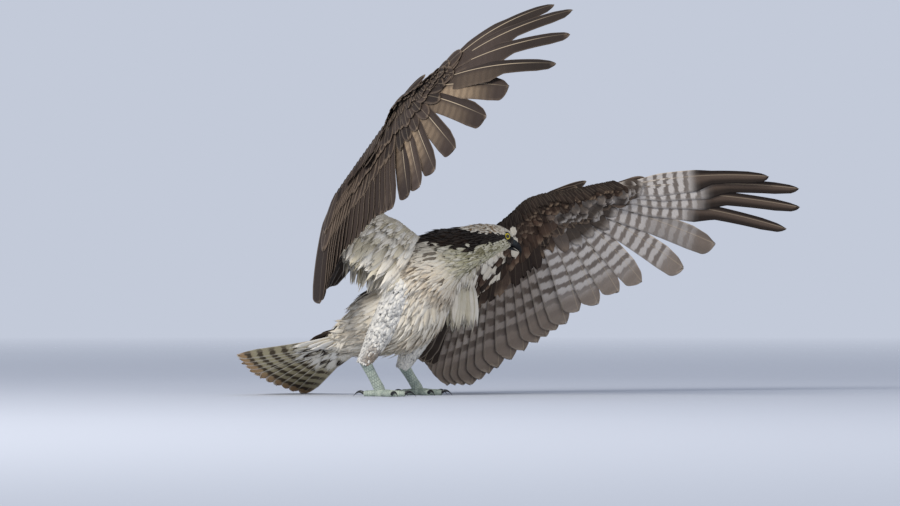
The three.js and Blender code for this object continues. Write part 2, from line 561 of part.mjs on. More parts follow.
WINGS.forEach((wing) => {
  const { side, shoulder, elbow, wrist, turn, foldAtElbow, foldAtShoulder, handTip } = wing;
  const upper = wing.upper.clone().normalize();
  const reach = wing.hand.clone().addScaledVector(upper, -wing.hand.dot(upper)).normalize();
  const chord = reach.clone().cross(upper).multiplyScalar(turn);
  const at = (a, b, lift = 0) =>
    wrist.clone().addScaledVector(reach, a).addScaledVector(chord, b).addScaledVector(upper, lift);
  const armLevel = STACK * SECONDARIES;

  const fingerLevel = (i) => -STACK * Math.min(i, 4) - FINGER_STACK * Math.max(i - 4, 0);
  const primaries = PRIMARY_REACH.map((distance, i) => {
    const angle = wing.primaryAngle[i] * DEGREES;
    const finger = i >= FINGERS_FROM;
    const rooted = (10 + PRIMARY_PITCH * i) / handTip[0];
    return feather({
      root: at(handTip[0] * rooted, 4 + (handTip[1] + 9) * rooted, handTip[2] * rooted),
      tip: at(distance * Math.cos(angle), distance * Math.sin(angle)),
      up: upper,
      turn,
      level: fingerLevel(i),
      arch: 6 + i,
      sweep: finger ? 10 : 4,
      shape: finger ? SHAPES.finger : SHAPES.primary,
    });
  });
  const secondaries = Array.from({ length: SECONDARIES }, (_, i) => {
    const f = i / (SECONDARIES - 1);
    const [a, b] = [0, 1].map((axis) => along(wing.secondaryTips.map((tip) => tip[axis]), f));
    return feather({
      root: mix(wrist, elbow, 0.04 + 0.9 * f),
      tip: at(a, b),
      up: upper,
      turn,
      level: STACK * (i + 1),
      arch: FLIGHT_ARCH,
      shape: SHAPES.secondary,
    });
  });
  const innerRow = Array.from({ length: INNER }, (_, i) => {
    const f = (i + 0.5) / INNER;
    return feather({
      root: mix(elbow, shoulder, f * 0.7),
      tip: mix(wing.innerTips[0], wing.innerTips[1], f),
      up: mix(upper, BACK_UP, f),
      turn,
      level: armLevel + STACK * (i + 1),
      arch: FLIGHT_ARCH,
      shape: SHAPES.inner,
    });
  });

  // Bony parts: the hand, then the forearm and the upper arm with the skin fold ahead of them
  const bend = at(0, 0).sub(elbow).normalize().add(reach).normalize(); // along the wing at the wrist
  const handFront = upper.clone().cross(bend).multiplyScalar(turn).normalize();
  if (handFront.dot(chord) > 0) handFront.negate();
  const wristFront = wrist.clone().addScaledVector(handFront, WRIST.front);
  const wristBack = wrist.clone().addScaledVector(handFront, -WRIST.back);
  const handEnd = (a, b) => at(handTip[0] + a, handTip[1] + b, handTip[2] + fingerLevel(9));
  const handStations = [0, 0.5, 1].map((f) => ({
    front: mix(wristFront, handEnd(0, HAND_END.front), f).addScaledVector(bend, f === 0 ? GAP : 0),
    back: mix(wristBack, handEnd(...HAND_END.back), f).addScaledVector(bend, f === 0 ? GAP : 0),
    up: upper,
    thick: WRIST.thick + (HAND_END.thick - WRIST.thick) * f,
  }));
  const elbowBack = elbow.clone().addScaledVector(chord, ELBOW.back).addScaledVector(upper, armLevel * 0.7);
  const foldUp = foldAtElbow.clone().sub(elbow).cross(wrist.clone().sub(elbow)).normalize();
  if (foldUp.dot(upper) < 0) foldUp.negate();
  const elbowUp = mix(upper, foldUp, 0.5).normalize();
  const forearmStations = [0, 0.5, 1].map((f) => ({
    front: mix(wristFront, foldAtElbow, f),
    back: mix(wristBack, elbowBack, f),
    up: mix(upper, elbowUp, f).normalize(),
    thick: WRIST.thick - 1 + (ELBOW.thick - WRIST.thick + 1) * f,
  }));
  const arm = shoulder.clone().sub(elbow).normalize();
  const shoulderBack = shoulder.clone().addScaledVector(chord, SHOULDER.back);
  const armStations = [0, 0.5, 1].map((f) => ({
    front: mix(foldAtElbow, foldAtShoulder, f).addScaledVector(arm, GAP),
    back: mix(elbowBack, shoulderBack, f).addScaledVector(arm, GAP),
    up: elbowUp,
    thick: ELBOW.thick + (SHOULDER.thick - ELBOW.thick) * f,
  }));
  const underArm = (f) => mix(elbow, shoulder, f).addScaledVector(elbowUp, -ARMPIT);
  const axillars = Array.from({ length: AXILLARS }, (_, i) => {
    const f = (i + 0.5) / AXILLARS;
    return feather({
      root: underArm(0.1 + 0.6 * f),
      tip: mix(wing.axillarTips[0], wing.axillarTips[1], f),
      up: elbowUp,
      turn,
      level: STACK * i,
      arch: -4,
      shape: SHAPES.axillar,
    });
  });
  const alula = ALULA.map((length, i) =>
    feather({
      root: mix(wrist, handEnd(0, 0), 0.12).addScaledVector(handFront, 8 - 2 * i),
      tip: mix(wrist, handEnd(0, 0), length / handTip[0]).addScaledVector(handFront, 15 - 5 * i),
      up: upper,
      turn,
      level: 3 - 2.2 * i,
      arch: 3,
      shape: SHAPES.alula,
    }),
  );
  const segment = (stations, feathers, grow = 0) =>
    union([airfoil(stations, grow), ...feathers.map((one) => vane({ ...one, grow }))]);
  const handFeathers = [...primaries, ...coverts(primaries), ...alula];
  const forearmFeathers = [...secondaries, ...coverts(secondaries)];
  const clear = union([bodyGrown, ...legSolids]);
  const hand = segment(handStations, handFeathers).subtract(airfoil(forearmStations, GAP));
  const handNear = segment(handStations, handFeathers.slice(0, 2), GAP);
  const forearm = segment(forearmStations, forearmFeathers).subtract(handNear);
  const forearmNear = segment(forearmStations, forearmFeathers, GAP);
  const armFeathers = [...innerRow, ...axillars];
  const upperArm = segment(armStations, armFeathers).subtract(forearmNear);
  addNode(`wing_${side}_hand`, hand, 0x5b4c3f);
  addNode(`wing_${side}_forearm`, forearm.subtract(clear), 0x74624f);
  addNode(`wing_${side}_arm`, upperArm.subtract(clear), 0x6a5947);
});

export default group;
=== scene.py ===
# %% [markdown]
# # An osprey that has just landed
# The bird stands with its head low and turned aside, its tail fanned and both wings held up. The packed
# solids are the frame: one closed block per body part. This file dresses them. Every shape is a surface
# worked out with numpy in millimetres, and becomes a mesh in metres in the same place as the solids.

# %% Load the frame
import math

import bpy
import numpy as np
from mathutils import Matrix


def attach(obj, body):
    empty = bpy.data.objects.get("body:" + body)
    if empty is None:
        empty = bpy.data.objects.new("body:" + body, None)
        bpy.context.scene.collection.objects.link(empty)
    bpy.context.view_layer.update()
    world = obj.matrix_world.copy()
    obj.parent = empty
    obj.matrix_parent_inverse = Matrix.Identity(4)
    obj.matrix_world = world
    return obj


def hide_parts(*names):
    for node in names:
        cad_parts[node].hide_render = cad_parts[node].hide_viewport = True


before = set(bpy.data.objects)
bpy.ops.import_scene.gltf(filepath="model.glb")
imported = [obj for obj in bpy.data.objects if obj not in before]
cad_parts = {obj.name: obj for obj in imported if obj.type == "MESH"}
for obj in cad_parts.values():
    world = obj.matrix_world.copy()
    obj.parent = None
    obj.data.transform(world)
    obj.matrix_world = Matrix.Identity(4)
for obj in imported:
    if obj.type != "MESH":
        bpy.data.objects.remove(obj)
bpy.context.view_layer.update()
rng = np.random.default_rng(11)
print("nodes in the frame:", len(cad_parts))

# %% [markdown]
# ## Camera
# The photograph was taken with a long lens from the height of the bird. One pixel is 1.8 mm at the bird,
# so a level camera ten metres away with a 222 mm lens gives the same frame with hardly any perspective.

# %% Camera
PIXEL = 1.8e-3  # metres of bird in one pixel of the picture
PICTURE = (900, 506)
FLOOR_PIXEL = (418, 395)  # where the frame's origin falls in the picture
CAMERA_AWAY = 10.0  # metres
CAMERA_SEES = 100.0  # metres, past the far edge of the floor
SENSOR = 36.0  # millimetres


def new_object(name, data):
    """An object in the scene's collection."""
    made = bpy.data.objects.new(name, data)
    bpy.context.collection.objects.link(made)
    return made


camera = new_object("camera", bpy.data.cameras.new("camera"))
camera.data.sensor_width = SENSOR
camera.data.lens = SENSOR * CAMERA_AWAY / (PICTURE[0] * PIXEL)
camera.data.clip_end = CAMERA_SEES
aim = [(PICTURE[0] / 2 - FLOOR_PIXEL[0]) * PIXEL, (FLOOR_PIXEL[1] - PICTURE[1] / 2) * PIXEL]
camera.location = (aim[0], -CAMERA_AWAY, aim[1])
camera.rotation_euler = (math.pi / 2, 0, 0)
bpy.context.scene.camera = camera
bpy.context.scene.view_settings.view_transform = "Standard"
print("lens in mm:", round(camera.data.lens, 1))

# %% [markdown]
# ## Small tools for shapes
# A limb is a smooth curve through a few stations with an oval section, so the main tool is a spline that
# passes through the rows of a table. Everything works on whole arrays: one call makes thousands of
# feathers.

# %% Shape tools
TINY = 1e-9  # keeps a division by a length away from zero


def vec(*numbers):
    return np.array(numbers, dtype=float)


UP = vec(0, 0, 1)


def unit(v):
    """The same direction with length one."""
    return v / np.maximum(np.linalg.norm(v, axis=-1, keepdims=True), TINY)


def square_to(v, axis):
    """The part of v that stands square to a unit axis, with length one."""
    return unit(v - axis * np.sum(v * axis, axis=-1, keepdims=True))


def blend(a, b, f):
    """From a to b by the share f."""
    return a + (b - a) * f


def step(x, low, high):
    """0 below low, 1 above high, and a smooth slope between."""
    t = np.clip((x - low) / (high - low), 0, 1)
    return t * t * (3 - 2 * t)


def spline(table, x):
    """A Catmull-Rom curve through the rows of a table, read at row numbers x."""
    i = np.clip(np.floor(x).astype(int), 0, len(table) - 2)
    f = (x - i)[..., None]
    a, b = table[np.maximum(i - 1, 0)], table[i]
    c, d = table[i + 1], table[np.minimum(i + 2, len(table) - 1)]
    bend = (2 * a - 5 * b + 4 * c - d) * f**2 + (3 * b - a - 3 * c + d) * f**3
    return b + 0.5 * ((c - a) * f + bend)


def oval_at(table, s, turn, side_of, reach, inset):
    """Point = middle + across cos(turn) wide + up sin(turn) deep, at station s of a run of ovals.

    A row of the table is x, y, z, half width, half depth. side_of gives the direction that across leans to.
    The run's course at s is taken between the points a reach before and after it.
    """
    s, turn = np.broadcast_arrays(np.asarray(s, float), np.asarray(turn, float))
    row = spline(table, s)
    after, before = (spline(table, np.clip(s + gap, 0, len(table) - 1))[..., :3] for gap in (reach, -reach))
    course = unit(after - before)
    across = square_to(side_of(row), course)
    up = np.cross(across, course)
    wide, deep = row[..., 3:4] - inset, row[..., 4:5] - inset
    return row[..., :3] + across * np.cos(turn)[..., None] * wide + up * np.sin(turn)[..., None] * deep


def full_turn(count):
    """Angles evenly round a circle, the first at zero."""
    return np.linspace(0, 2 * np.pi, count, endpoint=False)


def srgb(code):
    """A colour written as six hexadecimal digits, as linear values."""
    share = np.array([int(code[i : i + 2], 16) for i in (0, 2, 4)]) / 255
    return np.where(share < 0.04045, share / 12.92, ((share + 0.055) / 1.055) ** 2.4)


# %% [markdown]
# A mesh is built from arrays of corners and faces. Named layers carry what a material needs at each corner:
# `uv` maps give places on a feather, `paint` layers give its colours and the strength of its pattern.

# %% Turn arrays into a piece
MM = 0.001  # metres in a millimetre


def paint_layer(mesh, key, values):
    """A named colour at each corner of the mesh."""
    colours = np.concatenate([values, np.ones((len(values), 1))], axis=1)
    mesh.attributes.new(key, "FLOAT_COLOR", "POINT").data.foreach_set("color", colours.ravel())


def grey(share):
    """One number per corner as a colour of three equal values."""
    return np.repeat(share[:, None], 3, axis=1)


def above_floor(points):
    return np.column_stack([points[:, :2], np.maximum(points[:, 2], 0.0)])


def add_piece(name, points, faces, material, uv=None, paint=None, flat=None):
    """One mesh object from corners in millimetres and faces of four; a last corner of -1 makes a triangle.

    uv and paint hold layers by name. flat says which faces aren't shaded smooth.
    """
    mesh = bpy.data.meshes.new(name)
    points = above_floor(points)
    corners = faces.ravel()
    corners = corners[corners >= 0]
    counts = (faces >= 0).sum(axis=1)
    mesh.vertices.add(len(points))
    mesh.vertices.foreach_set("co", (points * MM).ravel())
    mesh.loops.add(len(corners))
    mesh.loops.foreach_set("vertex_index", corners)
    mesh.polygons.add(len(faces))
    mesh.polygons.foreach_set("loop_start", np.cumsum(counts) - counts)
    mesh.polygons.foreach_set("use_smooth", np.ones(len(faces), bool) if flat is None else ~flat)
    for key, values in (uv or {}).items():
        mesh.uv_layers.new(name=key).data.foreach_set("uv", values[corners].ravel())
    for key, values in (paint or {}).items():
        paint_layer(mesh, key, values)
    mesh.update(calc_edges=True)
    piece = new_object(name, mesh)
    mesh.materials.append(material)
    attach(piece, "root")
    held = volume(points, faces) / 1000
    print(f"{name}: {len(points)} corners, {len(faces)} faces, holds {held:.1f} ml")
    return piece


def volume(points, faces):
    """Signed volume: a sixth of the sum of a . (b x c) over all triangles.

    It is positive when the faces point outwards.
    """
    a, b, c, d = (points[faces[:, k]] for k in range(4))
    d = np.where(faces[:, 3:] < 0, c, d)
    return float((np.sum(a * np.cross(b, c)) + np.sum(a * np.cross(c, d))) / 6)


def turned_out(points, faces):
    """The same faces, in the order that makes a closed surface point outwards."""
    if volume(points, faces) > 0:
        return faces
    return np.where(faces[:, 3:] < 0, faces[:, [2, 1, 0, 3]], faces[:, ::-1])


# %% [markdown]
# ## Materials
# Feathers are keratin barbs set along a shaft. Seen close, a vane shows fine slanting lines, a pale shaft,
# a worn pale edge and, on most of an osprey's flight feathers, dark bars. All feathers share one node group
# that draws these from the feather's own map, so the pattern always follows the feather.

# %% Node tools
def new_node(tree, kind, settings=None, inputs=None):
    """A node with its settings, and each input either linked to a socket or given a value."""
    made = tree.nodes.new(kind)
    for key, value in (settings or {}).items():
        setattr(made, key, value)
    for key, value in (inputs or {}).items():
        if isinstance(value, bpy.types.NodeSocket):
            tree.links.new(value, made.inputs[key])
        else:
            made.inputs[key].default_value = value
    return made


def calc(tree, operation, *values):
    inputs = dict(enumerate(values))
    return new_node(tree, "ShaderNodeMath", {"operation": operation}, inputs).outputs[0]


def mix_colour(tree, share, a, b, how="MIX"):
    settings = {"data_type": "RGBA", "blend_type": how}
    return new_node(tree, "ShaderNodeMix", settings, {0: share, 6: a, 7: b}).outputs[2]


def ramp(tree, value, low, high):
    """0 below low, 1 above high."""
    inputs = {"Value": value, "From Min": low, "From Max": high}
    return new_node(tree, "ShaderNodeMapRange", None, inputs).outputs["Result"]


def solid(code):
    """A hexadecimal colour as the four values that a socket takes."""
    return (*srgb(code), 1)


def object_place(tree):
    return new_node(tree, "ShaderNodeTexCoord").outputs["Object"]


def layer(tree, key, output="Color"):
    """A named layer of the mesh, as colour or vector."""
    return new_node(tree, "ShaderNodeAttribute", {"attribute_name": key}).outputs[output]


def layer_share(tree, key):
    """The first value of a layer, for layers that hold one number."""
    return new_node(tree, "ShaderNodeSeparateColor", None, {0: layer(tree, key)}).outputs[0]


def grey_colour(tree, value):
    return new_node(tree, "ShaderNodeCombineColor", None, {0: value, 1: value, 2: value}).outputs[0]


def noise(tree, vector, scale, detail):
    inputs = {"Vector": vector, "Scale": scale, "Detail": detail}
    return new_node(tree, "ShaderNodeTexNoise", None, inputs).outputs["Fac"]


def noise_along(tree, distance, scale, detail):
    inputs = {"W": distance, "Scale": scale, "Detail": detail}
    return new_node(tree, "ShaderNodeTexNoise", {"noise_dimensions": "1D"}, inputs).outputs["Fac"]


def emboss(tree, shader, height, distance, strength):
    """Bump by height, with distance in metres."""
    inputs = {"Height": height, "Distance": distance, "Strength": strength}
    tree.links.new(new_node(tree, "ShaderNodeBump", None, inputs).outputs[0], shader.inputs["Normal"])


def new_material(name, settings):
    """A material, its node tree, and its Principled shader with the plain inputs set."""
    material = bpy.data.materials.new(name)
    material.use_nodes = True
    shader = material.node_tree.nodes["Principled BSDF"]
    for key, value in settings.items():
        shader.inputs[key].default_value = value
    return material, material.node_tree, shader


def new_group(name, inputs, outputs):
    """An empty node group with named sockets, and its two end nodes."""
    group = bpy.data.node_groups.new(name, "ShaderNodeTree")
    for label, kind in inputs:
        group.interface.new_socket(label, in_out="INPUT", socket_type=kind)
    for label, kind in outputs:
        group.interface.new_socket(label, in_out="OUTPUT", socket_type=kind)
    return group, group.nodes.new("NodeGroupInput"), group.nodes.new("NodeGroupOutput")


FLOAT, COLOUR, VECTOR = "NodeSocketFloat", "NodeSocketColor", "NodeSocketVector"

# %% [markdown]
# The vane group reads the feather's map in units of 20 mm: across the shaft and along it. The barbs slant
# towards the tip, so a line is drawn wherever the distance along plus the distance from the shaft is equal.

# %% The vane group
MAP_UNIT = 20.0  # millimetres of feather in one unit of its map


BARB_SLANT = 0.9  # how far a barb falls back along the shaft for each unit away from it
BARBS, CLUMPS, MOTTLE = 46.0, 7.0, 1.6  # lines, clumps and cloudy patches in one map unit
SHAFT_HALF = 0.045  # half width of the shaft line in map units; it is solid inside 0.02


def vane_group():
    group, given, out = new_group(
        "feather vane",
        [("Map", VECTOR), ("Tint", COLOUR), ("Mark", COLOUR), ("Pattern", VECTOR), ("Shaft", COLOUR)],
        [("Colour", COLOUR), ("Height", FLOAT)],
    )
    sum_of = lambda a, b: calc(group, "ADD", a, b)
    times = lambda a, b: calc(group, "MULTIPLY", a, b)
    less = lambda a, b: calc(group, "SUBTRACT", a, b)
    place = new_node(group, "ShaderNodeSeparateXYZ", None, {0: given.outputs["Map"]}).outputs
    bars, pace, line = new_node(group, "ShaderNodeSeparateXYZ", None, {0: given.outputs["Pattern"]}).outputs
    off = calc(group, "ABSOLUTE", place["X"])
    slant = less(place["Y"], times(off, BARB_SLANT))
    stretched = new_node(group, "ShaderNodeCombineXYZ", None, {0: times(off, 0.6), 1: slant}).outputs[0]
    barbs = noise_along(group, slant, BARBS, 2.0)
    clumps = noise_along(group, slant, CLUMPS, 3.0)
    wobble = times(less(noise(group, stretched, MOTTLE, 3.0), 0.5), 0.7)
    turn = times(calc(group, "MULTIPLY_ADD", place["Y"], pace, wobble), 2 * math.pi)
    bar = times(ramp(group, calc(group, "SINE", turn), -0.35, 0.55), bars)
    shaft = ramp(group, off, SHAFT_HALF, 0.02)
    fine = ramp(group, barbs, 0.25, 0.75)
    colour = mix_colour(group, bar, given.outputs["Tint"], given.outputs["Mark"])
    worn = times(less(clumps, 0.36), 0.9)
    colour = mix_colour(group, worn, colour, given.outputs["Shaft"], "SOFT_LIGHT")
    colour = mix_colour(group, 0.28, colour, grey_colour(group, fine), "OVERLAY")
    colour = mix_colour(group, times(shaft, line), colour, given.outputs["Shaft"])
    height = calc(group, "MULTIPLY_ADD", shaft, 1.2, sum_of(times(fine, 0.4), times(clumps, 0.9)))
    group.links.new(colour, out.inputs["Colour"])
    group.links.new(height, out.inputs["Height"])
    return group


VANE = vane_group()

# %% [markdown]
# Each feather carries three layers: its tint, the colour of its marks, and a pattern of three numbers
# (strength of the bars, bars per map unit, strength of the shaft line). One material then serves flight
# feathers, coverts and the small feathers of the body; only sheen, roughness and shaft colour change.

# %% Feather materials
def feather_material(name, shaft, roughness, bump, sheen):
    material, tree, shader = new_material(name, {
        "Roughness": roughness, "Specular IOR Level": 0.12, "Sheen Weight": sheen, "Sheen Roughness": 0.5,
    })
    vane = new_node(tree, "ShaderNodeGroup", {"node_tree": VANE}, {
        "Map": new_node(tree, "ShaderNodeUVMap", {"uv_map": "Vane"}).outputs[0],
    })
    tree.links.new(layer(tree, "tint"), vane.inputs["Tint"])
    tree.links.new(layer(tree, "mark"), vane.inputs["Mark"])
    tree.links.new(layer(tree, "pattern", "Vector"), vane.inputs["Pattern"])
    vane.inputs["Shaft"].default_value = solid(shaft)
    tree.links.new(vane.outputs["Colour"], shader.inputs["Base Color"])
    emboss(tree, shader, vane.outputs["Height"], 0.0004, bump)
    return material


flight_finish = feather_material("flight feather", "c3b196", 0.55, 0.6, 0.03)
down_finish = feather_material("contour feather", "e9e2d4", 0.85, 0.5, 0.06)

# %% [markdown]
# ## One maker for every feather
# A feather is a thin closed shell on a grid: t runs from root to tip, s from one edge to the other. The
# middle line bows a little, the edges droop, and the tip is frayed by pulling some columns back, as worn
# barbs do. The same maker gives a 490 mm primary and a 5 mm feather on the face.

# %% The feather maker
OUTLINES = {  # shares of the length, of the leading width, of the trailing width, rounding at the tip
    "flight": (
        [0, 0.06, 0.25, 0.82, 0.93, 1],
        [0.12, 0.3, 0.85, 1, 0.7, 0.3],
        [0.12, 0.4, 0.9, 1, 0.95, 0.75],
        0.06,
    ),
    "finger": (
        [0, 0.06, 0.3, 0.54, 0.64, 0.88, 0.96, 1],
        [0.12, 0.4, 1, 0.95, 0.7, 0.58, 0.4, 0.16],
        [0.12, 0.5, 1, 0.95, 0.56, 0.48, 0.36, 0.14],
        0.02,
    ),
    "covert": ([0, 0.2, 0.6, 1], [0.4, 0.8, 1, 0.9], [0.4, 0.8, 1, 0.9], 0.32),
    "lance": ([0, 0.25, 0.6, 1], [0.5, 1, 0.85, 0.3], [0.5, 1, 0.85, 0.3], 0.2),
}
BAKE_PATCH = 0.003  # size of one feather's patch on the skin's map
TIP_CROWDING = 1.35  # rows stand closer towards the tip as this grows from 1


def shell_faces(count, rows, cols):
    """Quads of many closed shells: each an upper grid, a lower grid and the rim that joins them."""
    size = rows * cols
    corner = (np.arange(rows - 1)[:, None] * cols + np.arange(cols - 1)).ravel()
    top = np.stack([corner, corner + 1, corner + cols + 1, corner + cols], axis=1)
    right = cols * np.arange(1, rows) + cols - 1
    back, left = size - 2 - np.arange(cols - 1), cols * np.arange(rows - 2, 0, -1)
    edge = np.concatenate([np.arange(cols), right, back, left])
    after = np.roll(edge, -1)
    rim = np.stack([edge, edge + size, after + size, after], axis=1)
    one = np.concatenate([top, top[:, ::-1] + size, rim])
    flat = np.concatenate([np.zeros(2 * len(top), bool), np.ones(len(rim), bool)])
    all_faces = one[None] + 2 * size * np.arange(count)[:, None, None]
    return all_faces.reshape(-1, 4), np.tile(flat, count)


def make_feathers(root, run, up, lead, trail, outline, rows, cols, leading=1, level=0, arch=0, sweep=0,
                  tilt=0, camber=0, fray=0, thick=(0.5, 1.1), bake=(0.5, 0.5)):
    """Point = root + run t + side (offset + sweep bow) + rise lift.

    lift = level + tilt offset + arch bow - camber s squared, and bow = 4 t (1 - t). side is square to run
    and up; leading tells which side the leading edge is on.
    """
    count = len(root)
    column = lambda v: np.broadcast_to(np.asarray(v, float), (count,))[:, None, None]
    rise = square_to(np.broadcast_to(up, root.shape), unit(run))
    side = np.cross(unit(run), rise) * leading
    stops, front, back, rounding = OUTLINES[outline]
    t = 1 - (1 - np.linspace(0, 1, rows)) ** TIP_CROWDING
    s = np.linspace(-1, 1, cols)
    tip = np.sqrt(np.clip(1.004 - np.clip((t - 1 + rounding) / rounding, 0, 1) ** 2, 0, 1))
    before, behind = ((np.interp(t, stops, edge) * tip)[:, None] for edge in (front, back))
    offset = s * np.where(s > 0, before, behind) * np.where(s > 0, column(lead), column(trail))
    worn = rng.random((count, 1, cols)) * fray
    pull = t[:, None] * (1 - worn * t[:, None] ** 3)
    bow = 4 * pull * (1 - pull)
    lift = column(level) + tilt * offset + column(arch) * bow
    lift = lift - column(camber) * s**2 * np.sqrt(t[:, None])
    half = 0.5 * blend(thick[0], thick[1], (1 - np.abs(s)) ** 3) * (1 - 0.5 * t[:, None])
    spread = lambda v: v[:, None, None, :]
    middle = spread(root) + spread(run) * pull[..., None]
    middle = middle + spread(side) * (offset + column(sweep) * bow)[..., None]
    faces = [middle + spread(rise) * (lift + sign * half)[..., None] for sign in (1, -1)]
    length = np.linalg.norm(run, axis=-1)[:, None, None]
    full = lambda v: np.broadcast_to(v, (count, rows, cols))[:, None]
    pair = lambda v: np.broadcast_to(full(v), (count, 2, rows, cols))
    s_all, t_all = pair(s), pair(t[:, None])
    centre = np.broadcast_to(bake, (count, 2))[:, None, None, None, :]
    patch = np.stack([s_all * 0.5, t_all - 0.5], axis=-1) * BAKE_PATCH
    quads, flat = shell_faces(count, rows, cols)
    if leading < 0:
        quads = quads[:, ::-1]
    return {
        "points": np.stack(faces, axis=1),
        "quads": quads,
        "flat": flat,
        "vane": np.stack([pair(offset), pair(pull * length)], axis=-1) / MAP_UNIT,
        "bake": centre + patch,
        "t": t_all,
        "s": s_all,
        "face": np.array([1, -1])[None, :, None, None] * np.ones((count, 1, rows, cols)),
    }


def each(values, batch):
    """One colour or triple per feather, spread over that feather's corners."""
    return np.broadcast_to(values[:, None, None, None, :], (*batch["t"].shape, 3))


def alike(values, batch):
    """One colour or triple for every corner of a batch."""
    return np.broadcast_to(values, (*batch["t"].shape, 3))


def over(share):
    """One number per feather, shaped to multiply a colour at every corner."""
    return share[:, None, None, None, None]


def add_plumage(name, batches, material):
    """Joins batches of feathers, each with its tint, mark and pattern layers, into one piece."""
    start = np.cumsum([0] + [b["points"].size // 3 for b in batches])
    faces = np.concatenate([b["quads"] + first for b, first in zip(batches, start)])
    join = lambda key, width: np.concatenate([b[key].reshape(-1, width) for b in batches])
    return add_piece(
        name,
        join("points", 3),
        faces,
        material,
        uv={"Vane": join("vane", 2), "OFBake": join("bake", 2)},
        paint={key: join(key, 3) for key in ("tint", "mark", "pattern")},
        flat=np.concatenate([b["flat"] for b in batches]),
    )


# %% [markdown]
# ## The body under the feathers
# Trunk, neck and head are one run of oval sections, the same stations as in the solids: middle, half
# width, half depth, and how far the section has turned from the trunk's roll to the head's.

# %% Body stations
TRUNK_RIGHT = unit(vec(-0.48, -0.8, 0.36))  # towards the bird's right side
HEAD_RIGHT = unit(vec(0.55, -0.835, 0))
HEAD_AHEAD = unit(vec(0.82, 0.55, -0.2))
BODY = np.array([
    (-137, -28, 99, 20, 15, 0),
    (-119, -32, 106, 38, 29, 0),
    (-90, -39, 119, 51, 45, 0),
    (-54, -47, 138, 61, 62, 0),
    (-18, -55, 160, 66, 67, 0),
    (4, -62, 200, 66, 65, 0),
    (27, -69, 231, 57, 61, 0.05),
    (52, -76, 250, 43, 51, 0.2),
    (76, -83, 261, 34, 42, 0.45),
    (97, -85, 269, 28, 37, 0.7),
    (119, -77, 276, 26, 33, 0.9),
    (140, -62, 280, 24, 27, 1),
    (157, -50, 279, 20, 20, 1),
    (167, -44, 276, 12, 12, 1),
], float)
LAST = len(BODY) - 1


def body_at(s, turn, inset=0.0):
    """Point on the body's run, inset below its surface. A turn of 90 degrees is the back."""
    return oval_at(BODY, s, turn, lambda row: blend(TRUNK_RIGHT, HEAD_RIGHT, row[..., 5:6]), 0.3, inset)


def body_frame(s, turn, inset=0.0):
    """Root points with the outward direction and the way the feathers lie, towards the tail."""
    tailwards, headwards = (np.clip(s + gap, 0, LAST) for gap in (-0.15, 0.15))
    lie = unit(body_at(tailwards, turn, inset) - body_at(headwards, turn, inset))
    around = body_at(s, turn + 0.05, inset) - body_at(s, turn - 0.05, inset)
    return body_at(s, turn, inset), unit(np.cross(around, lie)), lie


chest, outward, _ = body_frame(vec(5.0), vec(0.0))
print("outward is positive:", round(float(np.sum(outward * (chest - spline(BODY, vec(5.0))[..., :3]))), 1))

# %% [markdown]
# ## The wings' bones and skin folds
# A wing is a ribbon between a front edge and a back edge with an up direction and a thickness: from the
# hand's end (q = 0) to the wrist (1), the elbow (2) and the shoulder (3). Feathers are rooted on it.

# %% Wing stations
PRIMARIES, SECONDARIES, INNER = 10, 16, 7  # flight feathers on the hand, the forearm and the upper arm
FLIGHT = PRIMARIES + SECONDARIES + INNER
FINGERS = 4  # the outer primaries, whose tips stand apart
STACK, FINGER_STACK = 0.6, 1.1  # how far each flight feather lies above the next one out
PRIMARY_REACH = vec(217, 222, 228, 248, 302, 343, 468, 490, 488, 433)
SECTION = ([0, 0.2, 0.45, 0.8, 1], [0.3, 0.9, 1, 0.6, 0.3])
BACK_UP = unit(vec(-0.43, 0.6, 0.68))
WINGS = {
    "left": dict(
        turn=-1, wrist=vec(212, 107, 346), elbow=vec(94, 113, 204), shoulder=vec(42, -38, 225),
        fold_elbow=vec(122, 32, 290), fold_shoulder=vec(66, -44, 262),
        hand=vec(0.985, 0.098, 0.157), upper=vec(-0.12, 0.981, 0.15), tip=(148, -15, 10),
        angle=vec(76.1, 66.3, 55.2, 44.9, 32.3, 21.6, 14.7, 9.8, 5.7, 2.3),
        secondary=np.array(
            [(27, 230), (-32, 257), (-109, 292), (-162, 316), (-205, 310), (-224, 280)], float),
        inner=(vec(28, 132, 46), vec(-50, 42, 80)), axillar=(vec(98, 84, 118), vec(52, 8, 112)),
    ),
    "right": dict(
        turn=1, wrist=vec(-36, -106, 512), elbow=vec(-143, -112, 345), shoulder=vec(-4, -88, 255),
        fold_elbow=vec(-66, -84, 338), fold_shoulder=vec(4, -84, 284),
        hand=vec(0.612, -0.722, 0.321), upper=vec(-0.783, -0.499, 0.371), tip=(140, -16, 26),
        angle=vec(71.3, 62.9, 52.2, 38.9, 24.1, 14.2, 10.9, 4.7, -1, -5.9),
        secondary=np.array(
            [(26, 213), (-22, 216), (-66, 241), (-112, 262), (-140, 318), (-150, 345)], float),
        inner=(vec(-160, -152, 168), vec(-160, -40, 190)),
        axillar=(vec(-128, -118, 212), vec(-84, -112, 178)),
    ),
}


def finger_level(i):
    """Height of primary i, counted from the innermost: the outer ones stand further apart."""
    return -STACK * np.minimum(i, 4) - FINGER_STACK * np.maximum(i - 4, 0)


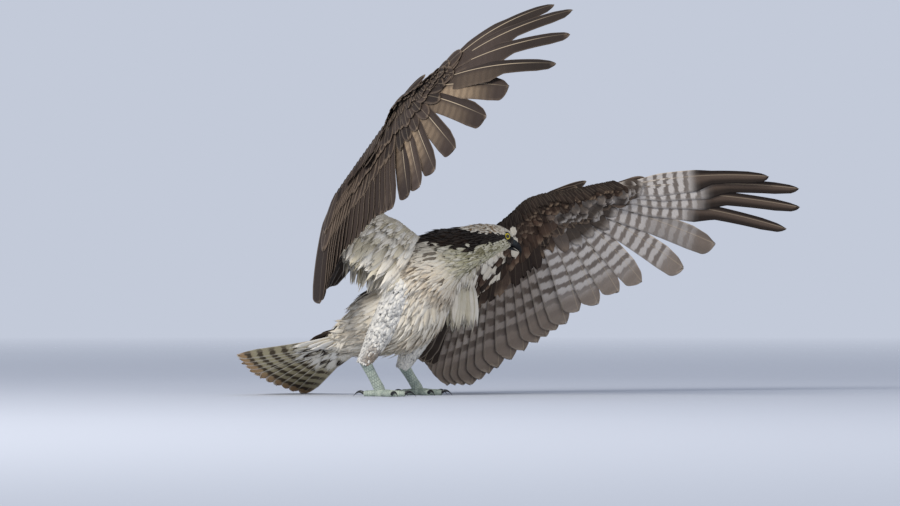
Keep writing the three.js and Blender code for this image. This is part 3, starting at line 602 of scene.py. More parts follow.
def lay_out(wing):
    """Adds the wing's own axes and its ribbon of seven stations: front, back, up and thickness."""
    wing["upper"] = upper = unit(wing["upper"])
    wing["reach"] = reach = square_to(wing["hand"], upper)
    wing["chord"] = chord = np.cross(reach, upper) * wing["turn"]
    wrist, elbow, shoulder = wing["wrist"], wing["elbow"], wing["shoulder"]
    wing["at"] = lambda a, b: wrist + np.multiply.outer(a, reach) + np.multiply.outer(b, chord)
    bend = unit(unit(wrist - elbow) + reach)
    front_way = unit(np.cross(upper, bend)) * wing["turn"]
    front_way = -front_way if front_way @ chord > 0 else front_way
    wing["front_way"] = front_way
    a, b, c = wing["tip"]
    level = c + finger_level(PRIMARIES - 1)
    end = lambda da, db: wrist + reach * (a + da) + chord * (b + db) + upper * level
    wing["hand_end"] = end(0, 0)
    rise = STACK * SECONDARIES
    elbow_back = elbow + chord * 26 + upper * rise * 0.7
    fold_up = unit(np.cross(wing["fold_elbow"] - elbow, wrist - elbow))
    elbow_up = unit(upper + (fold_up if fold_up @ upper > 0 else -fold_up))
    wing["elbow_up"] = elbow_up
    front = [end(0, -3), wrist + front_way * 14, wing["fold_elbow"], wing["fold_shoulder"]]
    back = [end(8, 18), wrist - front_way * 30, elbow_back, shoulder + chord * 36]
    halves = lambda rows: np.array([
        blend(rows[int(i)], rows[min(int(i) + 1, 3)], i % 1) for i in np.arange(0, 3.5, 0.5)
    ])
    ups = [upper, upper, elbow_up, elbow_up]
    thick = np.array([10, 13, 16, 18.5, 22, 25, 28], float)[:, None]
    wing["ribbon"] = np.concatenate([halves(front), halves(back), halves(ups), thick], axis=1)


def ribbon_at(wing, q, c, face, inset=0.0):
    """Point = front + (back - front) c + up (half thickness of the section at c).

    face is 1 on the upper side and -1 on the lower side.
    """
    row = spline(wing["ribbon"], 2 * np.asarray(q, float))
    c = np.asarray(c, float)
    half = 0.5 * row[..., 9] * np.interp(c, *SECTION) - inset
    up = unit(row[..., 6:9])
    return row[..., :3] + (row[..., 3:6] - row[..., :3]) * c[..., None] + up * (face * half)[..., None]


for wing in WINGS.values():
    lay_out(wing)
hand = np.linalg.norm(WINGS["left"]["hand_end"] - WINGS["left"]["wrist"])
print("hand length in mm:", round(float(hand)))

# %% [markdown]
# ## Colours
# An osprey is dark brown above and white below, with a dark stripe through the eye. The colours are named
# once here, and the rules that place them read only where a feather grows on the bird. The skin uses the
# same rules, so no gap between feathers shows a wrong colour.

# %% Palette and markings
WHITE, CREAM, TAN = srgb("f3eee3"), srgb("ddceb3"), srgb("9c7a52")
DARK, BROWN, PALE_EDGE = srgb("17110e"), srgb("33261d"), srgb("917f6e")
OLIVE, BUFF = srgb("a39f78"), srgb("c08f62")


def body_tint(s, turn, chance):
    """Colour of a small feather at station s and turn; chance (0 to 1) picks the odd dark or tan one."""
    back, right = np.sin(turn), np.cos(turn)
    ragged = (chance - 0.5) * 0.35
    drift = 0.5 + 0.5 * np.sin(s * 2.1 + right * 2.7 + 1.3 * np.sin(s * 0.9 + turn * 2))
    pale = blend(WHITE, CREAM, (0.35 + 0.45 * chance)[..., None])
    wash = step(drift, 0.25, 0.9) * step(s, 1.2, 3.4) * step(7.5 - s, 0, 1.5)
    pale = blend(pale, TAN, (wash * (0.12 + 0.3 * chance))[..., None])
    throat = step(s, 6.6, 8.8) * step(-back, -0.45, 0.2) * step(13 - s, 0.1, 1.2)
    pale = blend(pale, OLIVE, (throat * (0.4 + 0.55 * chance))[..., None])
    streaks = step(s, 8.2, 9.2) * step(-back, 0.0, 0.25) * step(0.75 + back, 0, 0.2) * (chance > 0.68)
    pale = blend(pale, srgb("5f5638"), (0.6 * streaks)[..., None])
    necklace = (chance > 0.88) & (np.abs(s - 6.3 - right * 0.3) < 0.55) & (back < 0.45) & (right > 0)
    neck_line = np.interp(s, [0, 5.3, 6.2, 7.5, 9, 10.5], [0.62, 0.74, 0.5, 0.2, 0.12, 0.5])
    nape = step(back + ragged, neck_line - 0.06, neck_line + 0.06) * (s < 10.6)
    stripe_low = np.interp(s, [7.5, 9, 10.5, 11.5, 12.2, 13], [0.2, -0.18, -0.1, -0.08, -0.4, -0.9])
    stripe_high = np.interp(s, [8, 9, 10, 11, 12, 13], [1.2, 0.85, 0.5, 0.38, 0.38, 0.42])
    stripe = (back + ragged * 0.5 > stripe_low) & (back + ragged * 0.2 < stripe_high) & (s > 7.6)
    crown = (back > stripe_high + ragged * 0.2) & (s > 9.0)
    dark = blend(DARK, BROWN, (chance * np.where(s > 9, 0.25, 1.0))[..., None])
    dark_share = np.maximum(np.maximum(nape * ~crown, stripe), necklace * 0.75)
    tint = blend(pale, dark, dark_share[..., None])
    fleck = step(chance, 0.62, 0.8) * step(12.4 - s, 0.2, 2.0)
    cap = blend(blend(WHITE, CREAM, 0.6), blend(TAN, BROWN, 0.25), fleck[..., None])
    return np.where(crown[..., None], cap, tint)


# %% [markdown]
# ## Skin
# One skin lies inside all the fleshy blocks: the run of the body, the shanks and the wings' arms are made
# as closed surfaces, fused by a voxel remesh and smoothed, so no seam shows where they meet.

# %% Legs as stations
LEGS = {
    "left": dict(
        hip=vec(24, -36, 190), knee=vec(20, -17, 150), ankle=vec(-26, -20, 54), foot=vec(0, 0, 11),
        thick=[40, 30, 24, 18.5, 13.5], heading=-16, mirror=-1,
    ),
    "right": dict(
        hip=vec(-18, -80, 205), knee=vec(-29, -97, 180), ankle=vec(-94, -104, 63), foot=vec(-67, -97, 11),
        thick=[40, 31, 25, 19, 14], heading=-12, mirror=1,
    ),
}
ANKLE = 4  # the last station of a feathered shank, from 0 at the hip
LEG_SIDE = unit(vec(0.2, -1, 0))
for leg in LEGS.values():
    hip, knee, ankle = leg["hip"], leg["knee"], leg["ankle"]
    middles = [hip, knee, blend(knee, ankle, 0.4), blend(knee, ankle, 0.75), ankle]
    leg["stations"] = np.array([[*at, thick, thick * 1.08] for at, thick in zip(middles, leg["thick"])])


def shank_at(leg, s, turn, inset=0.0):
    """Point on a feathered shank: an oval about the leg's line, from the hip to the ankle."""
    return oval_at(leg["stations"], s, turn, lambda row: LEG_SIDE, 0.2, inset)


def closed_tube(rings):
    """Corners and faces of a tube from rings of points, each end closed by a fan about its middle."""
    rows, cols = rings.shape[:2]
    points = np.concatenate([rings.reshape(-1, 3), rings[:1].mean(axis=1), rings[-1:].mean(axis=1)])
    i, j = np.meshgrid(np.arange(rows - 1), np.arange(cols), indexing="ij")
    a, b = i * cols + j, i * cols + (j + 1) % cols
    quads = np.stack([a, b, b + cols, a + cols], axis=-1).reshape(-1, 4)
    one, other = np.arange(cols), (np.arange(cols) + 1) % cols
    far = (rows - 1) * cols
    none = np.full(cols, -1)
    start = np.stack([other, one, np.full(cols, rows * cols), none], axis=1)
    end = np.stack([one + far, other + far, np.full(cols, rows * cols + 1), none], axis=1)
    return points, turned_out(points, np.concatenate([quads, start, end]))


# %% Skin surfaces and remesh
SKIN_INSET, FACE_INSET, SHANK_INSET, WING_INSET = 4.0, 2.2, 3.0, 1.0  # below the surface of the solids
TURNS = full_turn(64)


def body_inset(s):
    return np.interp(s, [0, 6, 9, LAST], [SKIN_INSET, SKIN_INSET, FACE_INSET, FACE_INSET])


def join_parts(parts):
    start = np.cumsum([0] + [len(points) for points, _ in parts])
    faces = [np.where(f < 0, f, f + n) for (_, f), n in zip(parts, start)]
    return np.concatenate([p for p, _ in parts]), np.concatenate(faces)


def ribbon_tube(wing, inset):
    """A closed tube round a wing's ribbon: out along the upper face and back along the lower one."""
    there = np.linspace(0.02, 1, 16)
    q = np.linspace(0.02, 2.98, 90)[:, None]
    c = np.concatenate([there, np.linspace(1, 0.02, 16)])[None, :]
    face = np.repeat([1.0, -1.0], len(there))[None, :]
    return closed_tube(ribbon_at(wing, q + 0 * c, c + 0 * q, face + 0 * q, inset))


body_rows_at = np.linspace(0, LAST, 150)[:, None]
shank_rows_at = np.linspace(0, ANKLE, 60)[:, None]
parts = [closed_tube(body_at(body_rows_at, TURNS[None, :], body_inset(body_rows_at)[..., None]))]
parts += [closed_tube(shank_at(leg, shank_rows_at, TURNS[None, :], SHANK_INSET)) for leg in LEGS.values()]
parts += [ribbon_tube(wing, WING_INSET) for wing in WINGS.values()]
skin_points, skin_quads = join_parts(parts)
print("skin before fusing:", len(skin_points), "corners")


def skin_material():
    """Bare skin under the coat: the markings of the coat with a fine grain; its tint comes in darkened as
    painted shade for the gaps between feathers.
    """
    material, tree, shader = new_material("skin", {"Roughness": 0.85})
    grain = noise(tree, object_place(tree), 900.0, 3.0)
    colour = mix_colour(tree, 0.4, layer(tree, "tint"), grey_colour(tree, grain), "MULTIPLY")
    tree.links.new(colour, shader.inputs["Base Color"])
    emboss(tree, shader, grain, 0.0006, 0.6)
    return material


def fuse(name, points, quads, voxel, smoothing):
    """Overlapping closed surfaces become one: voxel remesh, then smoothing, both applied."""
    mesh = bpy.data.meshes.new(name + "_parts")
    faces = [[one for one in face if one >= 0] for face in quads.tolist()]
    mesh.from_pydata((points * MM).tolist(), [], faces)
    rough = new_object(name + "_parts", mesh)
    remesh = rough.modifiers.new("fuse", "REMESH")
    remesh.mode = "VOXEL"
    remesh.voxel_size = voxel * MM
    soft = rough.modifiers.new("smooth", "SMOOTH")
    soft.iterations = smoothing
    fused = bpy.data.meshes.new_from_object(rough.evaluated_get(bpy.context.evaluated_depsgraph_get()))
    bpy.data.objects.remove(rough)
    found = np.empty(len(fused.vertices) * 3)
    fused.vertices.foreach_get("co", found)
    fused.polygons.foreach_set("use_smooth", np.ones(len(fused.polygons), bool))
    return fused, found.reshape(-1, 3) / MM


def nearest_on_body(points):
    """Station and turn of the body's run nearest to each point, and how far outside its surface it is."""
    s = np.linspace(0, LAST, 260)
    middles = spline(BODY, s)[:, :3]
    index = np.concatenate([
        np.argmin(((some[:, None] - middles) ** 2).sum(axis=-1), axis=1)
        for some in np.array_split(points, 40)  # in batches, to spare memory
    ])
    near = s[index]
    right, top = body_at(near, 0.0), body_at(near, np.pi / 2)
    middle = middles[index]
    x = np.sum((points - middle) * unit(right - middle), axis=1)
    y = np.sum((points - middle) * unit(top - middle), axis=1)
    wide, deep = spline(BODY, near)[:, 3], spline(BODY, near)[:, 4]
    return near, np.arctan2(y / deep, x / wide), np.hypot(x / wide, y / deep)


VOXEL, SMOOTHING = 3.0, 5  # millimetres, and passes
ARM_REACH = 60  # skin within this many millimetres of a wing's middle line takes the wing's colours
OUT_OF_BODY = 1.02  # share of the body's radius beyond which skin belongs to a wing
INNER_FROM = 55  # the white inner lining starts at this sample of the middle line
# Painted shade: the skin's copy of the coat colours is scaled by this share, to stand for the shade in the
# gaps between feathers.
SKIN_PAINTED_SHADE = 0.8

skin_mesh, skin_points = fuse("skin", skin_points, skin_quads, VOXEL, SMOOTHING)
near, turn, out = nearest_on_body(skin_points)
skin_tint = body_tint(near, turn, np.full(len(near), 0.5))
for wing in WINGS.values():
    middles = ribbon_at(wing, np.linspace(0, 3, 90), np.full(90, 0.4), np.zeros(90))
    gap = ((skin_points[:, None] - middles[None]) ** 2).sum(axis=-1)
    nearest = gap.argmin(axis=1)
    nearby = (gap.min(axis=1) < ARM_REACH**2) & (out > OUT_OF_BODY)
    above = ((skin_points - middles[nearest]) @ wing["elbow_up"]) > 0
    colour = np.where((above | (nearest <= INNER_FROM))[:, None], BROWN, CREAM)
    skin_tint = np.where(nearby[:, None], colour, skin_tint)
skin = new_object("skin", skin_mesh)
# Painted shade: the coat's colours, darkened for the gaps between feathers.
paint_layer(skin_mesh, "tint", skin_tint * SKIN_PAINTED_SHADE)
skin_mesh.materials.clear()
skin_mesh.materials.append(skin_material())
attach(skin, "root")
FLESH = ["torso", "neck", "head", "thigh_left", "thigh_right"]
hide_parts(*FLESH)
print("skin after fusing:", len(skin_points), "corners")

# %% [markdown]
# ## Flight feathers
# Ten primaries fan from the hand, sixteen secondaries stand along the forearm and seven inner feathers
# along the upper arm. Their tips lie where the solids' vanes end. All of a wing's flight feathers go into
# one table, outermost first, because the coverts over them are placed by reading between its rows.

# %% The table of a wing's flight feathers
def flight_table(wing):
    at = wing["at"]
    a, b, c = wing["tip"]
    i = np.arange(PRIMARIES)
    rooted = (10 + 15 * i) / a
    angle = np.radians(wing["angle"])
    primary = dict(
        root=at(a * rooted, 4 + (b + 9) * rooted) + (c * rooted)[:, None] * wing["upper"],
        tip=at(PRIMARY_REACH * np.cos(angle), PRIMARY_REACH * np.sin(angle)),
        up=np.tile(wing["upper"], (PRIMARIES, 1)), level=finger_level(i), arch=6.0 + i, q=1 - rooted,
        sweep=np.where(i > 5, 10.0, 4.0),
    )
    f = np.linspace(0, 1, SECONDARIES)
    stops = np.linspace(0, 1, len(wing["secondary"]))
    across = [np.interp(f, stops, wing["secondary"][:, axis]) for axis in (0, 1)]
    secondary = dict(
        root=blend(wing["wrist"], wing["elbow"], (0.04 + 0.9 * f)[:, None]), tip=at(*across),
        up=np.tile(wing["upper"], (SECONDARIES, 1)), level=STACK * (np.arange(SECONDARIES) + 1),
        arch=np.full(SECONDARIES, 8.0), q=1.04 + 0.9 * f, sweep=np.zeros(SECONDARIES),
    )
    f = (np.arange(INNER) + 0.5) / INNER
    inner = dict(
        root=blend(wing["elbow"], wing["shoulder"], 0.7 * f[:, None]),
        tip=blend(*wing["inner"], f[:, None]),
        up=blend(wing["upper"], BACK_UP, f[:, None]), level=STACK * (SECONDARIES + 1 + np.arange(INNER)),
        arch=np.full(INNER, 8.0), q=2 + 0.7 * f, sweep=np.zeros(INNER),
    )
    outward = {key: value[::-1] for key, value in primary.items()}
    table = {key: np.concatenate([outward[key], secondary[key], inner[key]]) for key in primary}
    table["run"] = table["tip"] - table["root"]
    table["rise"] = square_to(table["up"], unit(table["run"]))
    table["side"] = np.cross(unit(table["run"]), table["rise"]) * -wing["turn"]
    return table


def read_table(table, index):
    """The table between its rows, at fractional row numbers."""
    return {
        key: np.stack([np.interp(index, np.arange(len(v)), column) for column in v.T], axis=-1)
        if v.ndim == 2 else np.interp(index, np.arange(len(v)), v)
        for key, v in table.items()
    }


def on_vane(rows, share, lift):
    """Point above (or below) each feather's middle line, at a share of its length."""
    bow = (4 * share * (1 - share))[:, None]
    bend = rows["side"] * rows["sweep"][:, None] * bow + rows["rise"] * (rows["arch"][:, None] * bow)
    high = rows["rise"] * (rows["level"] + lift)[:, None]
    return rows["root"] + rows["run"] * share[:, None] + bend + high


for wing in WINGS.values():
    wing["table"] = flight_table(wing)
print("flight feathers a wing:", len(WINGS["left"]["table"]["root"]))

# %% [markdown]
# Seen from above, the flight feathers are a warm dark grey-brown with pale shafts. Seen from below they are
# barred grey and off-white, and the fingers' ends are nearly black. The shell has separate corners on its
# two faces, so each face gets its own colours.

# %% Flight feather colours
HAND_ENDS = PRIMARIES + 0.5  # in rows of the flight table
FINGERS_END = FINGERS + 0.6
ARM_STARTS = PRIMARIES + SECONDARIES


def paint_flight(batch, row):
    """Layers for rows of the flight table, on the upper (face 1) and the lower (face -1) side."""
    t, s, face = batch["t"], batch["s"], batch["face"]
    chance = rng.random(len(row))[:, None, None, None] + 0 * t
    row = row[:, None, None, None] + 0 * t
    mix = lambda a, b, share: blend(a, b, share[..., None])
    finger, primary = step(FINGERS_END - row, 0, 1.4), step(HAND_ENDS - row, 0, 1)
    tertial = step(row, ARM_STARTS - 2, ARM_STARTS)
    inner_web = step(-s, 0.0, 0.3) * step(row, 2, 4) * step(HAND_ENDS - row, 0, 2)
    rim = np.maximum(step(np.abs(s), 0.86, 1), step(t, 0.97, 1))
    upper = mix(srgb("312926"), srgb("4f443e"), 0.15 + 0.85 * chance)
    upper = mix(upper, srgb("2b231e"), 0.6 * step(s, 0.3, 0.9))
    patchy = step(t, 0.15, 0.35) * step(0.92 - t, 0, 0.35) * blend(0.45, 1.0, step(chance, 0.3, 0.7))
    upper = mix(upper, srgb("a8937a"), 0.75 * inner_web * patchy)
    upper = mix(upper, srgb("231d19"), 0.7 * finger * step(t, 0.4, 0.75))
    upper = mix(upper, srgb("271e18"), 0.85 * tertial)
    upper = mix(upper, PALE_EDGE, rim * (0.35 + 0.35 * tertial))
    lower = mix(srgb("a39a92"), srgb("8b8078"), chance)
    lower = mix(lower, srgb("c9c4c0"), 0.8 * primary)
    plain = step(t, blend(0.7, 0.8, chance), 0.9)
    lower = mix(lower, srgb("7f7267"), 0.85 * plain)
    lower = mix(lower, srgb("d8cbbb"), 0.7 * step(s, 0.72, 0.95) * (1 - plain))
    dark_tip = finger * step(t, 0.46, 0.56)
    by_shaft = step(0.6 - np.abs(s + 0.1), 0, 0.5)
    lower = mix(lower, mix(srgb("2a231f"), srgb("5a4d44"), by_shaft), dark_tip)
    lower = mix(lower, srgb("2b221c"), 0.95 * tertial)
    lower = mix(lower, srgb("c0b2a2"), rim * 0.45 * (1 - dark_tip))
    up_side = (face > 0)[..., None]
    batch["tint"] = np.where(up_side, upper, lower)
    batch["mark"] = np.where(up_side, srgb("352b25"), mix(srgb("51463e"), srgb("655a52"), chance))
    under = (0.92 - 0.1 * primary) * (1 - np.maximum(dark_tip, 0.85 * plain)) * (1 - 0.6 * rim)
    bars = np.where(face > 0, 0.12 + 0.16 * inner_web, under) * step(t, 0.1, 0.25) * (1 - 0.85 * tertial)
    pale_shaft = step(PRIMARIES + 2 - row, 0, 2) * (1 - step(t, 0.6, 0.95))
    shaft = np.where(face > 0, 0.12 + 0.8 * pale_shaft, 0.35)
    batch["pattern"] = np.stack([bars, 0.76 + 0.3 * primary, shaft], axis=-1)
    return batch


def wing_bake(side, q, c, face):
    """Place of a root on the skin's map: each wing has a strip for its upper and one for its lower face."""
    low = {"left": 0.66, "right": 0.82}[side] + (0.0 if face > 0 else 0.08)
    return np.stack([0.03 + 0.94 * np.clip(q / 3, 0, 1) + 0 * c, low + 0.07 * np.clip(c, 0, 1)], axis=-1)


FLIGHT_GROUPS = (  # first and last row of the table, outline, half widths of leading and trailing vane
    (0, FINGERS, "finger", 12, 30),
    (FINGERS, PRIMARIES, "flight", 15, 29),
    (PRIMARIES, ARM_STARTS, "flight", 16, 30),
    (ARM_STARTS, FLIGHT, "flight", 18, 26),
)


def flight_feathers(side, wing):
    batches = []
    for first, last, outline, lead, trail in FLIGHT_GROUPS:
        part = {key: value[first:last] for key, value in wing["table"].items()}
        batch = make_feathers(
            part["root"], part["run"], part["up"], lead, trail, outline, 44, 13, -wing["turn"],
            part["level"], part["arch"], part["sweep"], tilt=0.08, camber=1.2, fray=0.02, thick=(0.35, 1.3),
            bake=wing_bake(side, part["q"], np.full(last - first, 0.9), 1),
        )
        batches.append(paint_flight(batch, np.arange(first, last, dtype=float)))
    piece = add_plumage(f"flight_feathers_{side}", batches, flight_finish)
    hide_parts(f"wing_{side}_hand", f"wing_{side}_forearm")


for side, wing in WINGS.items():
    flight_feathers(side, wing)

# %% [markdown]
# ## Coverts
# Rows of shorter feathers hide the roots of the flight feathers on both faces. The greater and median rows
# follow the flight feathers themselves; the lesser rows shingle the arm from its back to its front edge.
# Above, all are dark brown with thin pale edges. Below, a dark band crosses the wing under the flight
# feathers, the leading edge is mottled brown and white, and the lining near the body is white.

# %% Covert colours
def paint_above(batch, share):
    """Dark brown with pale edges; share makes a feather lighter."""
    t, s = batch["t"], batch["s"]
    tint = blend(srgb("221c19"), srgb("4b403a"), 0.15 + 0.7 * over(share) + 0 * t[..., None])
    edge = np.maximum(step(t, 0.92, 1.0), step(np.abs(s), 0.82, 1.0) * step(t, 0.2, 0.6))
    batch["tint"] = blend(tint, PALE_EDGE, 0.55 * edge[..., None])
    batch["mark"] = alike(DARK, batch)
    batch["pattern"] = alike(vec(0.12, 0.8, 0.2), batch)
    return batch


def paint_lining(batch, share):
    """White with a breath of cream and olive, darker at the root as painted shade where the next feathers
    cover it.
    """
    olive = 0.35 * (share > 0.6) * share
    base = blend(blend(WHITE, CREAM, 0.7 * share[:, None]), OLIVE, olive[:, None])
    # Painted shade: the tint is darker towards the root.
    batch["tint"] = each(base, batch) * blend(0.75, 1.0, step(batch["t"], 0.0, 0.5))[..., None]
    batch["mark"] = each(base * 0.55, batch)
    batch["pattern"] = alike(vec(0.12, 0.5, 0.2), batch)
    return batch


def paint_below(batch, q, c, share):
    """Lining by place: q along the wing (0 fingers, 3 shoulder), c from the front edge to the back one."""
    t = batch["t"]
    inner = step(q, 1.8 + 0.35 * c, 2.1 + 0.35 * c)
    hand = step(0.95 - q, 0, 0.15) * step(c, 0.3, 0.5)
    white = blend(WHITE, CREAM, share[:, None] * 0.7)
    front = blend(srgb("271f1a"), srgb("6b5344"), (step(c, 0.0, 0.6) * (0.15 + 0.85 * share))[:, None])
    band = blend(srgb("2a221e"), srgb("55463c"), share[:, None])
    base = blend(front, band, step(c, 0.68, 0.78)[:, None])
    tuft = (share > 0.92 - 0.5 * step(q, 1.2, 1.6)) * step(q, 1.1, 1.4) * (c > 0.12) * (c < 0.72)
    base = blend(base, white, np.maximum(inner, tuft)[:, None])
    base = blend(base, blend(srgb("b9b2ab"), srgb("8f867e"), share[:, None]), hand[:, None])
    base = each(base, batch)
    dark = (1 - inner) * (1 - hand) * (1 - tuft)
    edge = step(t, 0.8, 0.97)[..., None] * over(0.5 * dark * (share > 0.3) * (c > 0.12))
    spot = step(t, 0.62, 0.85)[..., None] * over(inner * (share > 0.7) * (c > 0.7) * (q < 2.6))
    oval = step(t, 0.35, 0.6)[..., None] * (1 - step(t, 0.8, 0.95))[..., None] * over(hand)
    tint = blend(blend(base, srgb("a08a74"), edge), DARK, spot * 0.9)
    batch["tint"] = blend(tint, srgb("4c433c"), oval)
    batch["mark"] = blend(base, DARK, 0.6)
    batch["pattern"] = each(np.stack([0.15 * dark, 0.9 + 0 * q, 0.07 + 0 * q], axis=-1), batch)
    return batch


# %% Greater and median coverts
TIERS = (  # rows of the flight table, lengths along the wing, lift, half width, place, upper or lower face
    (np.arange(0, FLIGHT, 1.0), [76, 100, 112, 118, 110, 90], 3.4, 15, 0.8, 1),
    (np.arange(0.5, FLIGHT - 1, 0.8), [48, 64, 76, 80, 76, 66], 6.4, 12, 0.66, 1),
    (np.arange(0.5, FLIGHT, 1.0), [70, 96, 108, 108, 96, 70], -3.4, 14, 0.8, -1),
    (np.arange(0, FLIGHT - 1, 0.8), [46, 62, 76, 76, 70, 56], -6.6, 11, 0.66, -1),
)


def covert_tiers(side, wing):
    batches = []
    for index, lengths, lift, half, c, face in TIERS:
        rows = read_table(wing["table"], index)
        reach = np.linalg.norm(rows["run"], axis=1)
        long = np.interp(index, np.linspace(0, FLIGHT - 1, len(lengths)), lengths)
        long = long * rng.uniform(0.93, 1.07, len(index))
        root = on_vane(rows, 0 * reach, lift * 0.5)
        tip = on_vane(rows, long / reach, lift)
        share = rng.random(len(index))
        batch = make_feathers(
            root, tip - root, rows["rise"] * face, half, half, "covert", 14, 7, arch=1.8, camber=1.6,
            fray=0.08, thick=(0.3, 0.8), bake=wing_bake(side, rows["q"], np.full(len(index), 0.8), face),
        )
        c = np.full(len(index), c)
        batches.append(paint_above(batch, share) if face > 0 else paint_below(batch, rows["q"], c, share))
    if side == "right":
        batches += shoulder_lining(wing)
    return batches


def shoulder_lining(wing):
    """Long soft white feathers that spill over the inner part of the raised wing, in five rows."""
    batches = []
    for length, lift in ((128, 6), (106, 9), (84, 12), (62, 15), (42, 18)):
        index = np.arange(28.2, 32.4, 0.22)
        index = index + rng.uniform(-0.1, 0.1, len(index))
        rows = read_table(wing["table"], index)
        reach = np.linalg.norm(rows["run"], axis=1)
        grown = np.interp(index, [28, 29.5, 31, 33], [0.5, 0.8, 1, 1.1])
        long = length * rng.uniform(0.8, 1.12, len(index)) * grown
        root = on_vane(rows, 0 * reach, 4) + rng.normal(0, 2, (len(index), 3))
        tip = on_vane(rows, long / reach, lift + rng.uniform(-1.5, 1.5, len(index)))
        share = rng.random(len(index))
        batch = make_feathers(
            root, tip - root, rows["rise"], 9, 9, "lance", 14, 7, arch=5, camber=2.0, fray=0.4,
            thick=(0.25, 0.5), bake=wing_bake("right", rows["q"], np.full(len(index), 0.8), 1),
        )
        batches.append(paint_lining(batch, share))
    return batches


# %% Lesser coverts
ARM_ROWS = (  # place from the front edge (0) to the back edge (1), length
    (0.0, 17), (0.08, 21), (0.18, 26), (0.3, 31), (0.42, 36), (0.55, 40), (0.68, 46), (0.82, 50),
)
ARM_LENGTH = 380  # from the wrist to the shoulder along the ribbon


def arm_row(side, wing, face, row, c_row, length, lining):
    """One row over the arm, rooted on the ribbon and lying between its chord and the flight feathers."""
    table = wing["table"]
    pitch = length * (0.2 if lining else 0.27)
    count = int((np.linalg.norm(wing["hand_end"] - wing["wrist"]) + ARM_LENGTH) / pitch)
    q = 0.03 + 2.94 * (np.arange(count) + 0.5 * (row % 2) + rng.uniform(-0.3, 0.3, count)) / count
    c = np.clip(c_row + rng.uniform(-0.04, 0.04, count), 0, 1)
    white_from = 1.95 + 0.25 * c if face > 0 else 1.9 + 0.35 * c
    white = (q + rng.uniform(-0.12, 0.12, count) > white_from) & (side == "right" or face < 0)
    q, c = q[white == lining], c[white == lining]
    up = np.full(len(q), face)
    here = ribbon_at(wing, q, c, up, 0.8)
    along = ribbon_at(wing, q + 0.03, c, up) - ribbon_at(wing, q - 0.03, c, up)
    ahead = ribbon_at(wing, q, c + 0.04, up) - ribbon_at(wing, q, c - 0.04, up)
    normal = unit(np.cross(along, ahead))
    upwards = np.sign(np.sum(normal * spline(wing["ribbon"], 2 * q)[:, 6:9], axis=1))
    normal = normal * (upwards * face)[:, None]
    order = np.argsort(table["q"])
    ways = unit(table["run"])[order].T
    fan = unit(np.stack([np.interp(q, table["q"][order], v) for v in ways], axis=-1))
    lie = square_to(blend(unit(ahead), fan, (0.35 + 0.6 * c)[:, None]), normal)
    rise = np.radians(rng.uniform(4, 9, len(q)))[:, None]
    size = (length * (1.5 if lining else 1.0) * rng.uniform(0.8, 1.2, len(q)))[:, None]
    run = (lie * np.cos(rise) + normal * np.sin(rise)) * size
    half = length * (0.17 if lining else 0.27)
    share = rng.random(len(q))
    batch = make_feathers(
        here, run, normal, half, half, "lance" if lining else "covert", 8, 5, arch=size[:, 0] * 0.03,
        camber=1.0, fray=0.4 if lining else 0.12, thick=(0.25, 0.5), bake=wing_bake(side, q, c, face),
    )
    if lining:
        return paint_lining(batch, share)
    return paint_above(batch, share * 0.7) if face > 0 else paint_below(batch, q, c, share)


def arm_coverts(side, wing):
    return [
        arm_row(side, wing, face, row, c_row, length, lining)
        for face in (1, -1)
        for row, (c_row, length) in enumerate(ARM_ROWS)
        for lining in (False, True)
        if not lining or side == "right" or face < 0
    ]


# %% [markdown]
# The alula is the thumb's own little feather group at the wrist. White axillars hang from the armpit.

# %% Alula and axillars
def thumb_and_armpit(side, wing):
    along = vec(106, 86, 66) / wing["tip"][0]
    i = np.arange(3)[:, None]
    root = blend(wing["wrist"], wing["hand_end"], 0.12) + wing["front_way"] * (8 - 2 * i)
    tip = blend(wing["wrist"], wing["hand_end"], along[:, None]) + wing["front_way"] * (15 - 5 * i)
    alula = make_feathers(
        root, tip - root, wing["upper"], 6, 10, "covert", 14, 7, -wing["turn"], 3 - 2.2 * i[:, 0], arch=3,
        camber=1, fray=0.03, thick=(0.3, 1.0), bake=wing_bake(side, np.full(3, 0.9), np.zeros(3), 1),
    )
    count = 40
    f = (np.arange(count) + 0.5) / count
    root = blend(wing["elbow"], wing["shoulder"], (0.1 + 0.6 * f)[:, None]) - wing["elbow_up"] * 9
    tip = blend(*wing["axillar"], f[:, None]) + rng.normal(0, 5, (count, 3))
    armpit = make_feathers(
        root, tip - root, -wing["elbow_up"], 8, 8, "lance", 16, 7, level=rng.uniform(0, 8, count), arch=4,
        camber=1.5, fray=0.4, thick=(0.3, 0.6),
        bake=wing_bake(side, 2.1 + 0.6 * f, np.full(count, 0.5), -1),
    )
    return [paint_above(alula, vec(0.3, 0.4, 0.5)), paint_lining(armpit, rng.random(count))]


for side, wing in WINGS.items():
    batches = covert_tiers(side, wing) + thumb_and_armpit(side, wing)
    add_plumage(f"coverts_{side}", batches, flight_finish)
    batches = arm_coverts(side, wing)
    piece = add_plumage(f"lesser_coverts_{side}", batches, flight_finish)
    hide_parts(f"wing_{side}_arm")

# %% [markdown]
# ## Tail
# Twelve feathers in a half-open fan, cream below with brown bars and a buff end. Under-tail coverts, white
# with a few dark spots, hide their roots; brown ones do the same above.

# %% Tail feathers
TAIL_BASE = vec(-119, -30, 104)
TAIL_BACK = unit(vec(-0.81, 0.435, -0.352))
TAIL_RIGHT = square_to(vec(-0.66, -0.69, 0.3), TAIL_BACK)
TAIL_UP = np.cross(TAIL_BACK, TAIL_RIGHT)
TAIL_COUNT, TAIL_LENGTH, TAIL_SPREAD, TAIL_LEVEL = 12, 210, 29.5, 1.4


